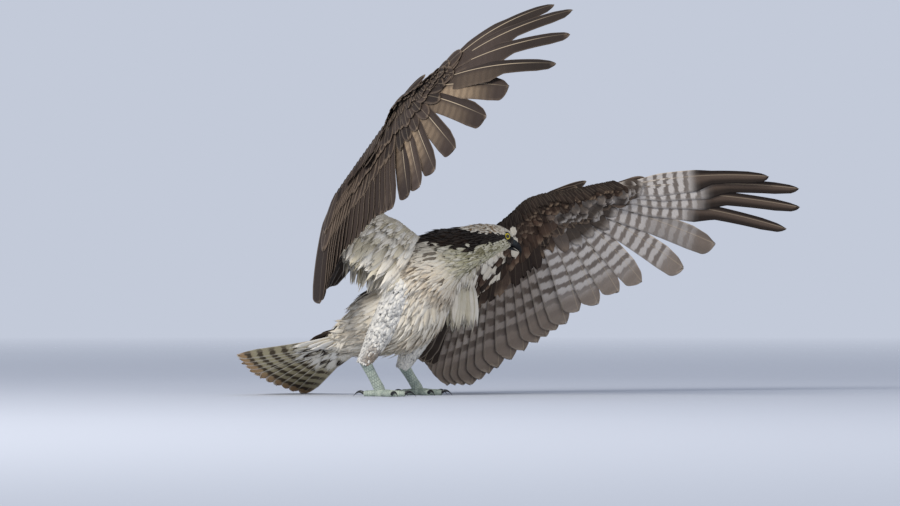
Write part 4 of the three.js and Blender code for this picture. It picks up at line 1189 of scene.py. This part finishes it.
def tail_rows(place):
    """Root, run and height of tail feathers at places from -1 (bird's left) to 1 (right) across the fan."""
    angle = np.radians(place * TAIL_SPREAD)[:, None]
    along = TAIL_BACK * np.cos(angle) + TAIL_RIGHT * np.sin(angle)
    level = -TAIL_LEVEL * np.floor(np.abs(place) * TAIL_COUNT / 2) - np.where(place < 0, TAIL_LEVEL, 0)
    root = TAIL_BASE + TAIL_RIGHT * (place * 12)[:, None] + along * 4
    return root, along, level


def tail_bake(place, depth):
    return np.stack([0.72 + 0.12 * (place + 1), 0.02 + 0.1 * depth + 0 * place], axis=-1)


def tail_tint(batch, share):
    t, s, face = batch["t"], batch["s"], batch["face"]
    below = blend(blend(CREAM, WHITE, 0.5), srgb("b9ae8c"), step(t, 0.3, 0.6)[..., None])
    below = blend(below, srgb("b98f63"), (0.8 * step(t, 0.84, 0.95))[..., None])
    below = blend(below, blend(CREAM, WHITE, 0.6), (0.9 * step(np.abs(s), 0.8, 0.95))[..., None])
    above = blend(srgb("65564a"), srgb("7a6a59"), over(share) * np.ones((*t.shape, 1)))
    above = blend(above, BUFF, (0.6 * step(t, 0.93, 0.99))[..., None])
    batch["tint"] = np.where((face > 0)[..., None], above, below)
    batch["mark"] = np.where((face > 0)[..., None], srgb("33291f"), srgb("463a2a"))
    bars = step(t, 0.3, 0.45) * (1 - step(t, 0.94, 0.98)) * np.where(face > 0, 0.6, 0.95)
    bars = bars * (1 - 0.5 * step(s, 0.0, 0.6)) * (1 - 0.8 * step(np.abs(s), 0.8, 0.95))
    batch["pattern"] = np.stack([bars, 0.92 + 0 * t, 0.8 + 0 * t], axis=-1)
    return batch


place = (np.arange(TAIL_COUNT) + 0.5) / (TAIL_COUNT / 2) - 1
root, along, level = tail_rows(place)
batches = []
for half, leading in ((place < 0, 1), (place > 0, -1)):
    reach = (TAIL_LENGTH * (1 - 0.03 * np.abs(place)) - 4)[half]
    batch = make_feathers(
        root[half] + TAIL_UP * 4, along[half] * reach[:, None], TAIL_UP, 13, 20, "flight", 40, 11, leading,
        level[half], arch=-1.5, camber=1.0, fray=0.03, thick=(0.35, 1.1), bake=tail_bake(place[half], 0.5),
    )
    batches.append(tail_tint(batch, rng.random(half.sum())))
tail_piece = add_plumage("tail_feathers", batches, flight_finish)
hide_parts("tail")


# %% Tail coverts
def tail_coverts():
    """Rows of coverts above and below the tail; the lower ones reach past the middle of the fan."""
    batches = []
    for face, lengths in ((1, (90, 66, 44)), (-1, (132, 106, 80, 56, 36))):
        for row, length in enumerate(lengths):
            count = 19 - row
            place = np.linspace(-0.95, 0.95, count) + rng.uniform(-0.03, 0.03, count)
            root, along, level = tail_rows(place)
            root = root - along * 14 + TAIL_UP * (4 + face * (3 + 3.5 * row))
            size = length * rng.uniform(0.85, 1.1, count)[:, None]
            tip = root + along * size + TAIL_UP * (level + face * 3)[:, None]
            share = rng.random(count)
            batch = make_feathers(
                root, tip - root, TAIL_UP * face, 13, 13, "covert" if face > 0 else "lance", 14, 7,
                arch=2.5, camber=2, fray=0.2, thick=(0.3, 0.7), bake=tail_bake(place, 0.2 + 0.1 * row),
            )
            if face > 0:
                batch = paint_above(batch, share)
            else:
                batch = paint_lining(batch, share)
                spot = step(batch["t"], 0.7, 0.85)[..., None] * over((share > 0.7) * (row > 0))
                batch["tint"] = blend(batch["tint"], BROWN, spot)
            batches.append(batch)
    return batches


add_plumage("tail_coverts", tail_coverts(), down_finish)

# %% [markdown]
# ## The coat of small feathers
# Rows of small feathers run round the body from the tail to the face. Their length shrinks from about 55 mm
# on the belly to 5 mm round the bill. Each row is staggered against the next, and every feather leans a
# little by chance, so the coat looks soft and worn and not like scales.

# %% Rows round the body
STOPS = vec(0, 1.5, 4.5, 6.5, 8.5, 10, 11.5, LAST)  # body stations
COAT_LENGTH = vec(46, 44, 38, 31, 24, 14, 7.5, 4.5)  # at the stops, before the stretch of each piece
COAT_WIDE = vec(5.5, 5, 4.4, 4.0, 3.4, 2.6, 1.8, 1.4)  # half widths at the stops
EYES = {"left": vec(140, -40, 287), "right": vec(158, -68, 285)}
EYE_RADIUS = 7.9


def body_rows(pitch_share, wide_share):
    """Stations and turns of all roots.

    A row starts every share of the feather's length, and a root every share of its width.
    """
    fine = np.linspace(0, LAST, 2000)
    middles = spline(BODY, fine)
    distance = np.concatenate([[0], np.cumsum(np.linalg.norm(np.diff(middles[:, :3], axis=0), axis=1))])
    stations, turns, row, d = [], [], 0, 2.0
    while d < distance[-1] - 1:
        s = np.interp(d, distance, fine)
        round_it = 2 * np.pi * np.interp(s, fine, np.hypot(middles[:, 3], middles[:, 4]) / math.sqrt(2))
        count = max(int(round_it / (np.interp(s, STOPS, COAT_WIDE) * wide_share)), 8)
        turn = 2 * np.pi * (np.arange(count) + 0.5 * (row % 2) + rng.uniform(-0.3, 0.3, count)) / count
        stations.append(np.full(count, s) + rng.uniform(-0.03, 0.03, count))
        turns.append(turn)
        d += np.interp(s, STOPS, COAT_LENGTH) * pitch_share
        row += 1
    return np.clip(np.concatenate(stations), 0.02, LAST - 0.02), np.concatenate(turns)


def lean(lie, normal, yaw, lift):
    """A lie direction turned in the skin by yaw and raised off it by lift, in radians."""
    side = np.cross(normal, lie)
    flat = lie * np.cos(yaw)[:, None] + side * np.sin(yaw)[:, None]
    return flat * np.cos(lift)[:, None] + normal * np.sin(lift)[:, None]


def body_bake(s, turn):
    return np.stack([0.03 + 0.66 * s / LAST, 0.16 + 0.48 * np.mod(turn / (2 * np.pi) + 0.25, 1)], axis=-1)


ROOT_DEPTH = 0.5  # roots start this far inside the skin
EYE_CLEAR = 0.8  # no feather is rooted nearer to an eyeball


def body_coat(first, last, rows, cols, pitch, wide, stretch):
    """The coat from one body station to another."""
    s, turn = body_rows(pitch, wide)
    chosen = (s >= first) & (s < last)
    s, turn = s[chosen], turn[chosen]
    root, normal, lie = body_frame(s, turn, (body_inset(s) + ROOT_DEPTH)[:, None])
    to_eye = np.min([np.linalg.norm(root - eye, axis=1) for eye in EYES.values()], axis=0)
    clear = to_eye > EYE_RADIUS + EYE_CLEAR
    s, turn, root, normal, lie = s[clear], turn[clear], root[clear], normal[clear], lie[clear]
    count = len(s)
    yaw, rise = rng.normal(0, 0.16, count), np.radians(rng.uniform(3, 7.5, count))
    length = np.interp(s, STOPS, COAT_LENGTH) * stretch * rng.uniform(0.8, 1.2, count)
    half = np.interp(s, STOPS, COAT_WIDE) * rng.uniform(0.8, 1.2, count)
    batch = make_feathers(
        root, lean(lie, normal, yaw, rise) * length[:, None], normal, half, half, "lance", rows, cols,
        arch=length * 0.05, camber=half * 0.12, fray=0.42, thick=(0.2, 0.4), bake=body_bake(s, turn),
    )
    chance = rng.random(count)
    base = body_tint(s, turn, chance)
    t = batch["t"]
    pale = np.mean(base, axis=1) > 0.25
    grown = each(base, batch)
    # Painted shade: each small feather is darker towards its root, where the feathers of the next row cover
    # it.
    tint = blend(grown * 0.84, grown, step(t, 0.0, 0.75)[..., None])
    batch["tint"] = blend(tint, PALE_EDGE, step(t, 0.85, 1)[..., None] * over(~pale * 0.12))
    batch["mark"] = each(base * 0.7, batch)
    shaft = np.where(pale, 0.25, 0.04)
    batch["pattern"] = each(np.stack([0.3 + 0 * s, 0.9 + 0 * s, shaft], axis=-1), batch)
    return batch


COATS = {  # first and last station, rows, columns, spacing of the rows, spacing in a row, stretch
    "coat_belly": (0, 3.6, 7, 5, 0.19, 0.8, 1.2),
    "coat_breast": (3.6, 5.6, 6, 5, 0.19, 0.8, 1.2),
    "coat_chest": (5.6, 7.2, 6, 5, 0.19, 0.8, 1.2),
    "coat_head": (7.2, LAST, 5, 3, 0.24, 0.85, 1.15),
}
for name, settings in COATS.items():
    add_plumage(name, [body_coat(*settings)], down_finish)

# %% [markdown]
# The shanks wear short dense feathers that lie down the leg. The near one is white, freckled with
# grey-black, and brown low on its front.

# %% Shank coat
ROOT_SPACING = 4.0  # between the roots of one ring


def shank_coat(side, leg):
    rings = np.arange(0.5, ANKLE + 0.06, 0.055)
    radii = np.interp(rings, range(ANKLE + 1), leg["thick"])
    s = np.repeat(rings, [max(int(2 * np.pi * radius / ROOT_SPACING), 8) for radius in radii])
    count = len(s)
    turn = rng.uniform(0, 2 * np.pi, count)
    s = np.clip(s + rng.uniform(-0.03, 0.03, count), 0.3, ANKLE)
    root = shank_at(leg, s, turn, SHANK_INSET)
    below, above = (shank_at(leg, np.clip(s + gap, 0, ANKLE), turn, SHANK_INSET) for gap in (0.1, -0.1))
    lie = unit(below - above)
    normal = unit(np.cross(shank_at(leg, s, turn + 0.05) - shank_at(leg, s, turn - 0.05), lie))
    middle = spline(leg["stations"], s)[:, :3]
    normal = normal * np.sign(np.sum(normal * (root - middle), axis=1))[:, None]
    length = np.interp(s, [0, 1, 3, 4], [26, 20, 12, 9]) * rng.uniform(0.8, 1.2, count)
    half = np.interp(s, [0, 1, 4], [5.0, 3.5, 2.1])
    yaw, rise = rng.normal(0, 0.14, count), np.radians(rng.uniform(5, 11, count))
    patch = np.stack([0.03 + 0.3 * s / 4 + (0.33 if side == "right" else 0),
                      0.02 + 0.12 * np.mod(turn / (2 * np.pi), 1)], axis=-1)
    batch = make_feathers(
        root, lean(lie, normal, yaw, rise) * length[:, None], normal, half, half, "covert", 5, 3,
        arch=length * 0.04, camber=half * 0.15, fray=0.25, thick=(0.2, 0.4), bake=patch,
    )
    chance = rng.random(count)
    base = blend(WHITE, srgb("d5d3cf"), chance[:, None])
    freckle = (chance > (0.72 if side == "right" else 0.86)) * step(s, 1.0, 1.6)
    front = np.cos(turn - 0.6) * step(s, 2.4, 3.4) * (side == "right")
    tan = 0.8 * np.clip(front, 0, 1) * (chance > 0.25)
    base = blend(base, blend(BROWN, TAN, 0.5), tan[:, None])
    shaded = each(base, batch) * blend(0.8, 1, step(batch["t"], 0, 0.6))[..., None]
    tip = step(batch["t"], 0.5, 0.8)[..., None] * over(0.6 * freckle)
    batch["tint"] = blend(shaded, srgb("3d3936"), tip)
    batch["mark"] = each(base * 0.6, batch)
    batch["pattern"] = alike(vec(0.1, 0.9, 0.15), batch)
    return batch


for side, leg in LEGS.items():
    add_plumage(f"coat_shank_{side}", [shank_coat(side, leg)], down_finish)

# %% [markdown]
# ## Eyes
# A yellow iris with a round black pupil sits under a wet cornea, in a dark rim of lid. The colours are
# rings about the eye's own axis, so each ball carries its distance from that axis as a layer.

# %% Eye finish
def eye_material():
    """Rings by share of RING_ANGLE from the axis: pupil, yellow iris, its darker rim and a black edge."""
    material, tree, shader = new_material("eye", {
        "Roughness": 0.25, "Coat Weight": 0.35, "Coat Roughness": 0.05,
    })
    ring = layer_share(tree, "tint")
    fleck = noise(tree, object_place(tree), 1400.0, 2.0)
    yellow = mix_colour(tree, fleck, solid("e6d21a"), solid("c2a80f"))
    yellow = mix_colour(tree, ramp(tree, ring, 0.55, 0.75), yellow, solid("97850f"))
    colour = mix_colour(tree, ramp(tree, ring, 0.34, 0.36), (0.004, 0.004, 0.004, 1), yellow)
    colour = mix_colour(tree, ramp(tree, ring, 0.68, 0.73), colour, (0.01, 0.008, 0.006, 1))
    tree.links.new(colour, shader.inputs["Base Color"])
    return material


def horn_material(name, base, pale, roughness, coat):
    """Dark horn with fine growth lines and a slight polish, and bare skin where the tint is 1."""
    material, tree, shader = new_material(name, {"Specular IOR Level": 0.25, "Coat Weight": coat})
    lines = noise(tree, object_place(tree), 420.0, 4.0)
    share = layer_share(tree, "tint")
    dark = mix_colour(tree, ramp(tree, lines, 0.4, 0.75), solid(base), solid(pale))
    tree.links.new(mix_colour(tree, share, dark, solid("34393c")), shader.inputs["Base Color"])
    rough = calc(tree, "MULTIPLY_ADD", lines, 0.2, roughness)
    tree.links.new(calc(tree, "MULTIPLY_ADD", share, 0.2, rough), shader.inputs["Roughness"])
    emboss(tree, shader, lines, 0.0003, 0.5)
    return material


eye_finish = eye_material()
bill_finish = horn_material("bill horn", "0a0a0b", "17171a", 0.42, 0.06)
claw_finish = horn_material("claw horn", "121214", "2a2a2c", 0.32, 0.35)

# %% Eyeballs and lids
EYE_SUNK = 1.2  # how far the ball's middle lies inside the station
RING_ANGLE = 1.2  # radians from the axis where the ring layer reaches 1
LID_REACH, LID_HEIGHT = 7.5, 2.9  # middle of the lid's rim: from the axis, and above the ball's middle
LID_WIDE, LID_HIGH = 1.2, 1.3  # half width and half height of the rim


def polar_points(centre, axis, angle, out, height):
    """Point = centre + axis height + (one cos + two sin)(angle) out; one and two are square to the axis."""
    one = square_to(UP, axis)
    two = np.cross(axis, one)
    round_it = one * np.cos(angle)[..., None] + two * np.sin(angle)[..., None]
    return centre + axis * height[..., None] + round_it * out[..., None]


def eyeball(centre, axis):
    """A ball with a bulging cornea, and each corner's share of RING_ANGLE."""
    polar = np.linspace(0.001, np.pi - 0.001, 48)[:, None]
    angle = full_turn(64)[None, :]
    radius = EYE_RADIUS * (1 + 0.09 * np.exp(-((polar / 0.5) ** 2)))
    ball = polar_points(centre, axis, angle, radius * np.sin(polar), radius * np.cos(polar))
    points, faces = closed_tube(ball)
    distance = np.concatenate([np.repeat(polar[:, 0], angle.size), [0, np.pi]])
    return points, faces, np.clip(distance / RING_ANGLE, 0, 1)


def eyelid(centre, axis):
    """A closed ring about the axis, a little squeezed and higher at one side."""
    angle = full_turn(64)[None, :]
    tube = full_turn(12)[:, None]
    squint = 1 - 0.12 * np.abs(np.sin(angle)) ** 2
    reach = LID_REACH * squint + LID_WIDE * np.cos(tube)
    height = LID_HEIGHT + LID_HIGH * np.sin(tube) + 0.4 * np.cos(angle)
    points = polar_points(centre, axis, angle, reach, height)
    rows, cols = points.shape[:2]
    i, j = np.meshgrid(np.arange(rows), np.arange(cols), indexing="ij")
    corner = lambda a, b: (a % rows) * cols + b % cols
    quads = np.stack([corner(i, j), corner(i, j + 1), corner(i + 1, j + 1), corner(i + 1, j)], axis=-1)
    points = points.reshape(-1, 3)
    return points, turned_out(points, quads.reshape(-1, 4))


for side, centre in EYES.items():
    outwards = HEAD_RIGHT if side == "right" else -HEAD_RIGHT
    axis = unit(outwards - 0.12 * HEAD_AHEAD + vec(0, 0, 0.04))
    centre = centre - axis * EYE_SUNK
    points, faces, ring = eyeball(centre, axis)
    ball = add_piece(f"eyeball_{side}", points, faces, eye_finish, paint={"tint": grey(ring)})
    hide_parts(f"eye_{side}")
    points, faces = eyelid(centre, axis)
    shade = {"tint": np.full(points.shape, 0.15)}
    add_piece(f"eyelid_{side}", points, faces, claw_finish, paint=shade)

# %% [markdown]
# ## Bill
# The upper mandible curves down into a hook over a shorter lower one. At its root sits the cere, a swollen
# collar of grey skin with a slit nostril on each side.

# %% Mandibles
BILL_BASE = vec(167, -43, 276)
HEAD_UP = unit(np.cross(HEAD_RIGHT, HEAD_AHEAD))


def mandible(top):
    """Rings along a falling curve, with the share of bare skin at each corner.

    A ring is an oval whose upper half is narrower, swollen at the cere and pinched at the nostril.
    """
    t = np.linspace(0, 1, 72)[:, None]
    turn = full_turn(56)[None, :]
    high = np.sin(turn)
    if top:
        taper, ahead, fall, half = 1 - 0.92 * t**2, 28 * np.sin(1.6 * t), 6 + 21 * t**2.4, 7.4
    else:
        taper, ahead, fall, half = 1 - 0.88 * t, 21 * t, 15 + 3 * t, 3.5
    cere = 0.9 * step(0.3 + 0.05 * high - t, 0, 0.07) * step(high, -0.6, 0.1) * top
    nostril = np.exp(-(((t - 0.2) / 0.035) ** 2) - ((high - 0.3) / 0.22) ** 2) * top
    edge = 0.06 * np.exp(-(((high + 0.55) / 0.2) ** 2)) * top  # the cutting edge stands a little proud
    grow = 1 + 0.06 * cere - 0.2 * nostril + edge * (1 - t)
    wide = 8.5 * taper * np.cos(turn) * (1 - 0.22 * np.clip(high, 0, 1) ** 2) * grow
    rise = 4 - fall + half * taper * high * grow
    rings = BILL_BASE + HEAD_AHEAD * (ahead - 3)[..., None]
    rings = rings + HEAD_RIGHT * wide[..., None] + HEAD_UP * rise[..., None]
    points, faces = closed_tube(rings)
    bare = np.concatenate([(cere * (1 - nostril)).ravel(), [0, 0]])
    return points, faces, np.clip(bare, 0, 1)


for name, top in (("upper", True), ("lower", False)):
    points, faces, bare = mandible(top)
    skin_share = {"tint": grey(bare)}
    piece = add_piece(f"mandible_{name}", points, faces, bill_finish, paint=skin_share)
    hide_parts(f"bill_{name}")

# %% [markdown]
# ## Feet
# Bare skin of pale grey-green, set with horny plates: wide scutes across the top of each toe and small
# round scales elsewhere. The plates are real relief, worked out in rows round the limb.

# %% Scaly skin
def scale_material():
    material, tree, shader = new_material("scaly skin", {"Roughness": 0.55})
    place = object_place(tree)
    cloud, grain = noise(tree, place, 90.0, 4.0), noise(tree, place, 900.0, 2.0)
    skin_tone = mix_colour(tree, ramp(tree, cloud, 0.35, 0.7), solid("b9c2b2"), solid("8f9c92"))
    raised = ramp(tree, layer_share(tree, "tint"), 0.1, 0.7)
    tree.links.new(mix_colour(tree, raised, solid("5d6660"), skin_tone), shader.inputs["Base Color"])
    emboss(tree, shader, grain, 0.0003, 0.5)
    return material


scale_finish = scale_material()


ROW_SPACING = 0.45  # between the rings of a scaly tube
SUNK = 0.96  # the grooves lie at this share of the limb's radius


def scaly_tube(table, side_way, pitch, around, relief):
    """A tube through stations (x, y, z, radius) whose skin rises in rounded plates.

    Plate height = (1 - a^6)(1 - b^6), with a along and b round the limb, each from -1 to 1 in its plate.
    """
    table = np.array(table, float)
    length = np.linalg.norm(np.diff(table[:, :3], axis=0), axis=1).sum()
    rows = int(length / ROW_SPACING)
    row = spline(table, np.linspace(0, len(table) - 1, rows))
    course = unit(np.gradient(row[:, :3], axis=0))
    across = square_to(np.broadcast_to(side_way, course.shape), course)
    up = np.cross(across, course)
    turn = full_turn(72)
    at = np.linspace(0, length / pitch, rows)[:, None]
    a = 2 * np.mod(at, 1) - 1
    b = 2 * np.mod(turn / (2 * np.pi) * around + 0.5 * (np.floor(at) % 2), 1) - 1
    plate = (1 - a**6) * (1 - b**6)
    radius = row[:, 3:4] * SUNK + relief * plate
    points = row[:, None, :3] + across[:, None] * (np.cos(turn) * radius)[..., None]
    points = points + up[:, None] * (np.sin(turn) * radius)[..., None]
    corners, faces = closed_tube(points)
    return above_floor(corners), faces, np.concatenate([plate.ravel(), [0, 0]])


# %% Legs, toes and claws
TOES = {  # turn from the foot's heading, length, radius
    "middle": (2, 44, 5.6), "inner": (42, 36, 5.4), "outer": (-46, 40, 5.2), "hind": (176, 29, 5.4),
}
TOE_HEIGHT = 4.6
CLAW_LENGTH, CLAW_RADIUS, CLAW_ARCH, CLAW_TURN = 21, 3.9, 6, 2.4


def foot_parts(leg):
    """Scaly tubes of the bare shin and of the pad under it."""
    ankle, foot = leg["ankle"], leg["foot"]
    shin = unit(foot - ankle)
    stations = (
        (ankle - shin * 8, 9.6), (ankle + shin * 4, 9.8), (blend(ankle, foot, 0.5), 8.7),
        (foot - shin * 5, 9.4), (foot + shin, 8.8),
    )
    pad = [(foot[0], foot[1], z, r) for z, r in ((15, 8.0), (9, 10.2), (4, 10.4), (0.3, 9.2))]
    return [
        scaly_tube([(*place, radius) for place, radius in stations], LEG_SIDE, 3.4, 12, 0.55),
        scaly_tube(pad, LEG_SIDE, 2.4, 20, 0.4),
    ]


def toe(foot, out, length, radius):
    """A scaly toe along out; its stations are share of the length, height and share of the radius."""
    stations = ((0.05, 7, 1), (0.3, 6.4, 1), (0.62, TOE_HEIGHT + 0.4, 1), (0.9, TOE_HEIGHT + 0.3, 0.95),
                (1.03, TOE_HEIGHT + 0.2, 0.72))
    course = [(*(vec(foot[0], foot[1], z) + out * length * f), radius * wide) for f, z, wide in stations]
    return scaly_tube(course, UP, 3.6, 7, 0.6)


def claw(foot, out, length):
    """Height of the middle line = arch sin(turn t) - (toe height + arch sin(turn)) t squared."""
    t = np.linspace(0, 1, 40)[:, None]
    around = full_turn(28)[None, :]
    rise = CLAW_ARCH * np.sin(CLAW_TURN * t) - (TOE_HEIGHT + CLAW_ARCH * np.sin(CLAW_TURN)) * t**2
    middle = vec(foot[0], foot[1], TOE_HEIGHT) + out * (length + CLAW_LENGTH * t) + UP * rise
    thick = CLAW_RADIUS * (1 - 0.88 * t) * (1 - 0.12 * np.clip(-np.sin(around), 0, 1))
    across = vec(-out[1], out[0], 0)
    rings = middle[:, None] + across * (np.cos(around) * thick)[..., None]
    points, faces = closed_tube(rings + UP * (np.sin(around) * thick)[..., None])
    return above_floor(points), faces


for side, leg in LEGS.items():
    tubes = foot_parts(leg)
    for name, (turn, length, radius) in TOES.items():
        angle = math.radians(leg["heading"] + leg["mirror"] * turn)
        out = vec(math.cos(angle), math.sin(angle), 0)
        tubes.append(toe(leg["foot"], out, length, radius))
        points, faces = claw(leg["foot"], out, length)
        dark = {"tint": np.zeros(points.shape)}
        piece = add_piece(f"talon_{name}_{side}", points, faces, claw_finish, paint=dark)
        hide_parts(f"claw_{name}_{side}")
    points, faces = join_parts([tube[:2] for tube in tubes])
    plates = {"tint": grey(np.concatenate([tube[2] for tube in tubes]))}
    piece = add_piece(f"scaly_leg_{side}", points, faces, scale_finish, paint=plates)
    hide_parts(f"tarsus_{side}", f"foot_{side}")

# %% [markdown]
# ## Floor and light
# A plain pale floor fades out with distance into a sky of the same tone, so no edge shows from any side.
# A large soft light high on the left, a weaker one on the right and the sky give the even light of a hazy
# day.

# %% Floor
FLOOR_RADIUS, FADE_FROM, FADE_TO = 12.0, 1.5, 7.0  # metres
SKY = srgb("c3cad9")


def floor_material():
    """Pale matt floor; share of clear = (distance from the middle - from) / (to - from), within 0 and 1."""
    material, tree, shader = new_material("pale floor", {
        "Base Color": solid("c6cbd6"), "Roughness": 0.95, "Specular IOR Level": 0.1,
    })
    place = object_place(tree)
    distance = new_node(tree, "ShaderNodeVectorMath", {"operation": "LENGTH"}, {0: place}).outputs["Value"]
    clear = new_node(tree, "ShaderNodeBsdfTransparent").outputs[0]
    inputs = {0: ramp(tree, distance, FADE_FROM, FADE_TO), 1: shader.outputs[0], 2: clear}
    mixed = new_node(tree, "ShaderNodeMixShader", None, inputs).outputs[0]
    tree.links.new(mixed, tree.nodes["Material Output"].inputs["Surface"])
    return material


def lay_floor():
    turn = full_turn(96)
    rim = FLOOR_RADIUS * np.stack([np.cos(turn), np.sin(turn), 0 * turn], axis=1)
    mesh = bpy.data.meshes.new("floor")
    mesh.from_pydata(rim.tolist(), [], [list(range(len(turn)))])
    mesh.materials.append(floor_material())
    new_object("floor", mesh)


lay_floor()


# %% Lights
LIT = (0.1, -0.1, 0.3)  # the lamps point at the middle of the bird, in metres


def soft_light(name, place, size, power, colour):
    light = bpy.data.lights.new(name, "AREA")
    light.size, light.energy, light.color = size, power, colour
    lamp = new_object(name, light)
    lamp.location = place
    ahead = unit(vec(*LIT) - vec(*place))
    across = unit(np.cross(ahead, UP))
    turned = np.stack([across, np.cross(across, ahead), -ahead], axis=1)
    lamp.rotation_euler = Matrix(turned.tolist()).to_euler()


soft_light("key", (-2.4, -3.2, 3.4), 1.8, 190, (1.0, 0.97, 0.92))
soft_light("fill", (3.6, -3.0, 1.6), 3.0, 42, (1.0, 0.98, 0.95))


# %% Sky
def paint_sky(seen, lights):
    """One plain sky colour: seen as it is by the camera, and giving its light at the strength of lights."""
    world = bpy.data.worlds.new("sky")
    world.use_nodes = True
    tree = world.node_tree
    glow = tree.nodes["Background"]
    glow.inputs["Color"].default_value = (*SKY, 1)
    glow.inputs["Strength"].default_value = lights
    plain = {"Color": (*SKY, 1), "Strength": seen}
    backdrop = new_node(tree, "ShaderNodeBackground", None, plain).outputs[0]
    looked_at = new_node(tree, "ShaderNodeLightPath").outputs["Is Camera Ray"]
    inputs = {0: looked_at, 1: glow.outputs[0], 2: backdrop}
    mixed = new_node(tree, "ShaderNodeMixShader", None, inputs).outputs[0]
    tree.links.new(mixed, tree.nodes["World Output"].inputs["Surface"])
    bpy.context.scene.world = world


paint_sky(seen=1.0, lights=0.75)
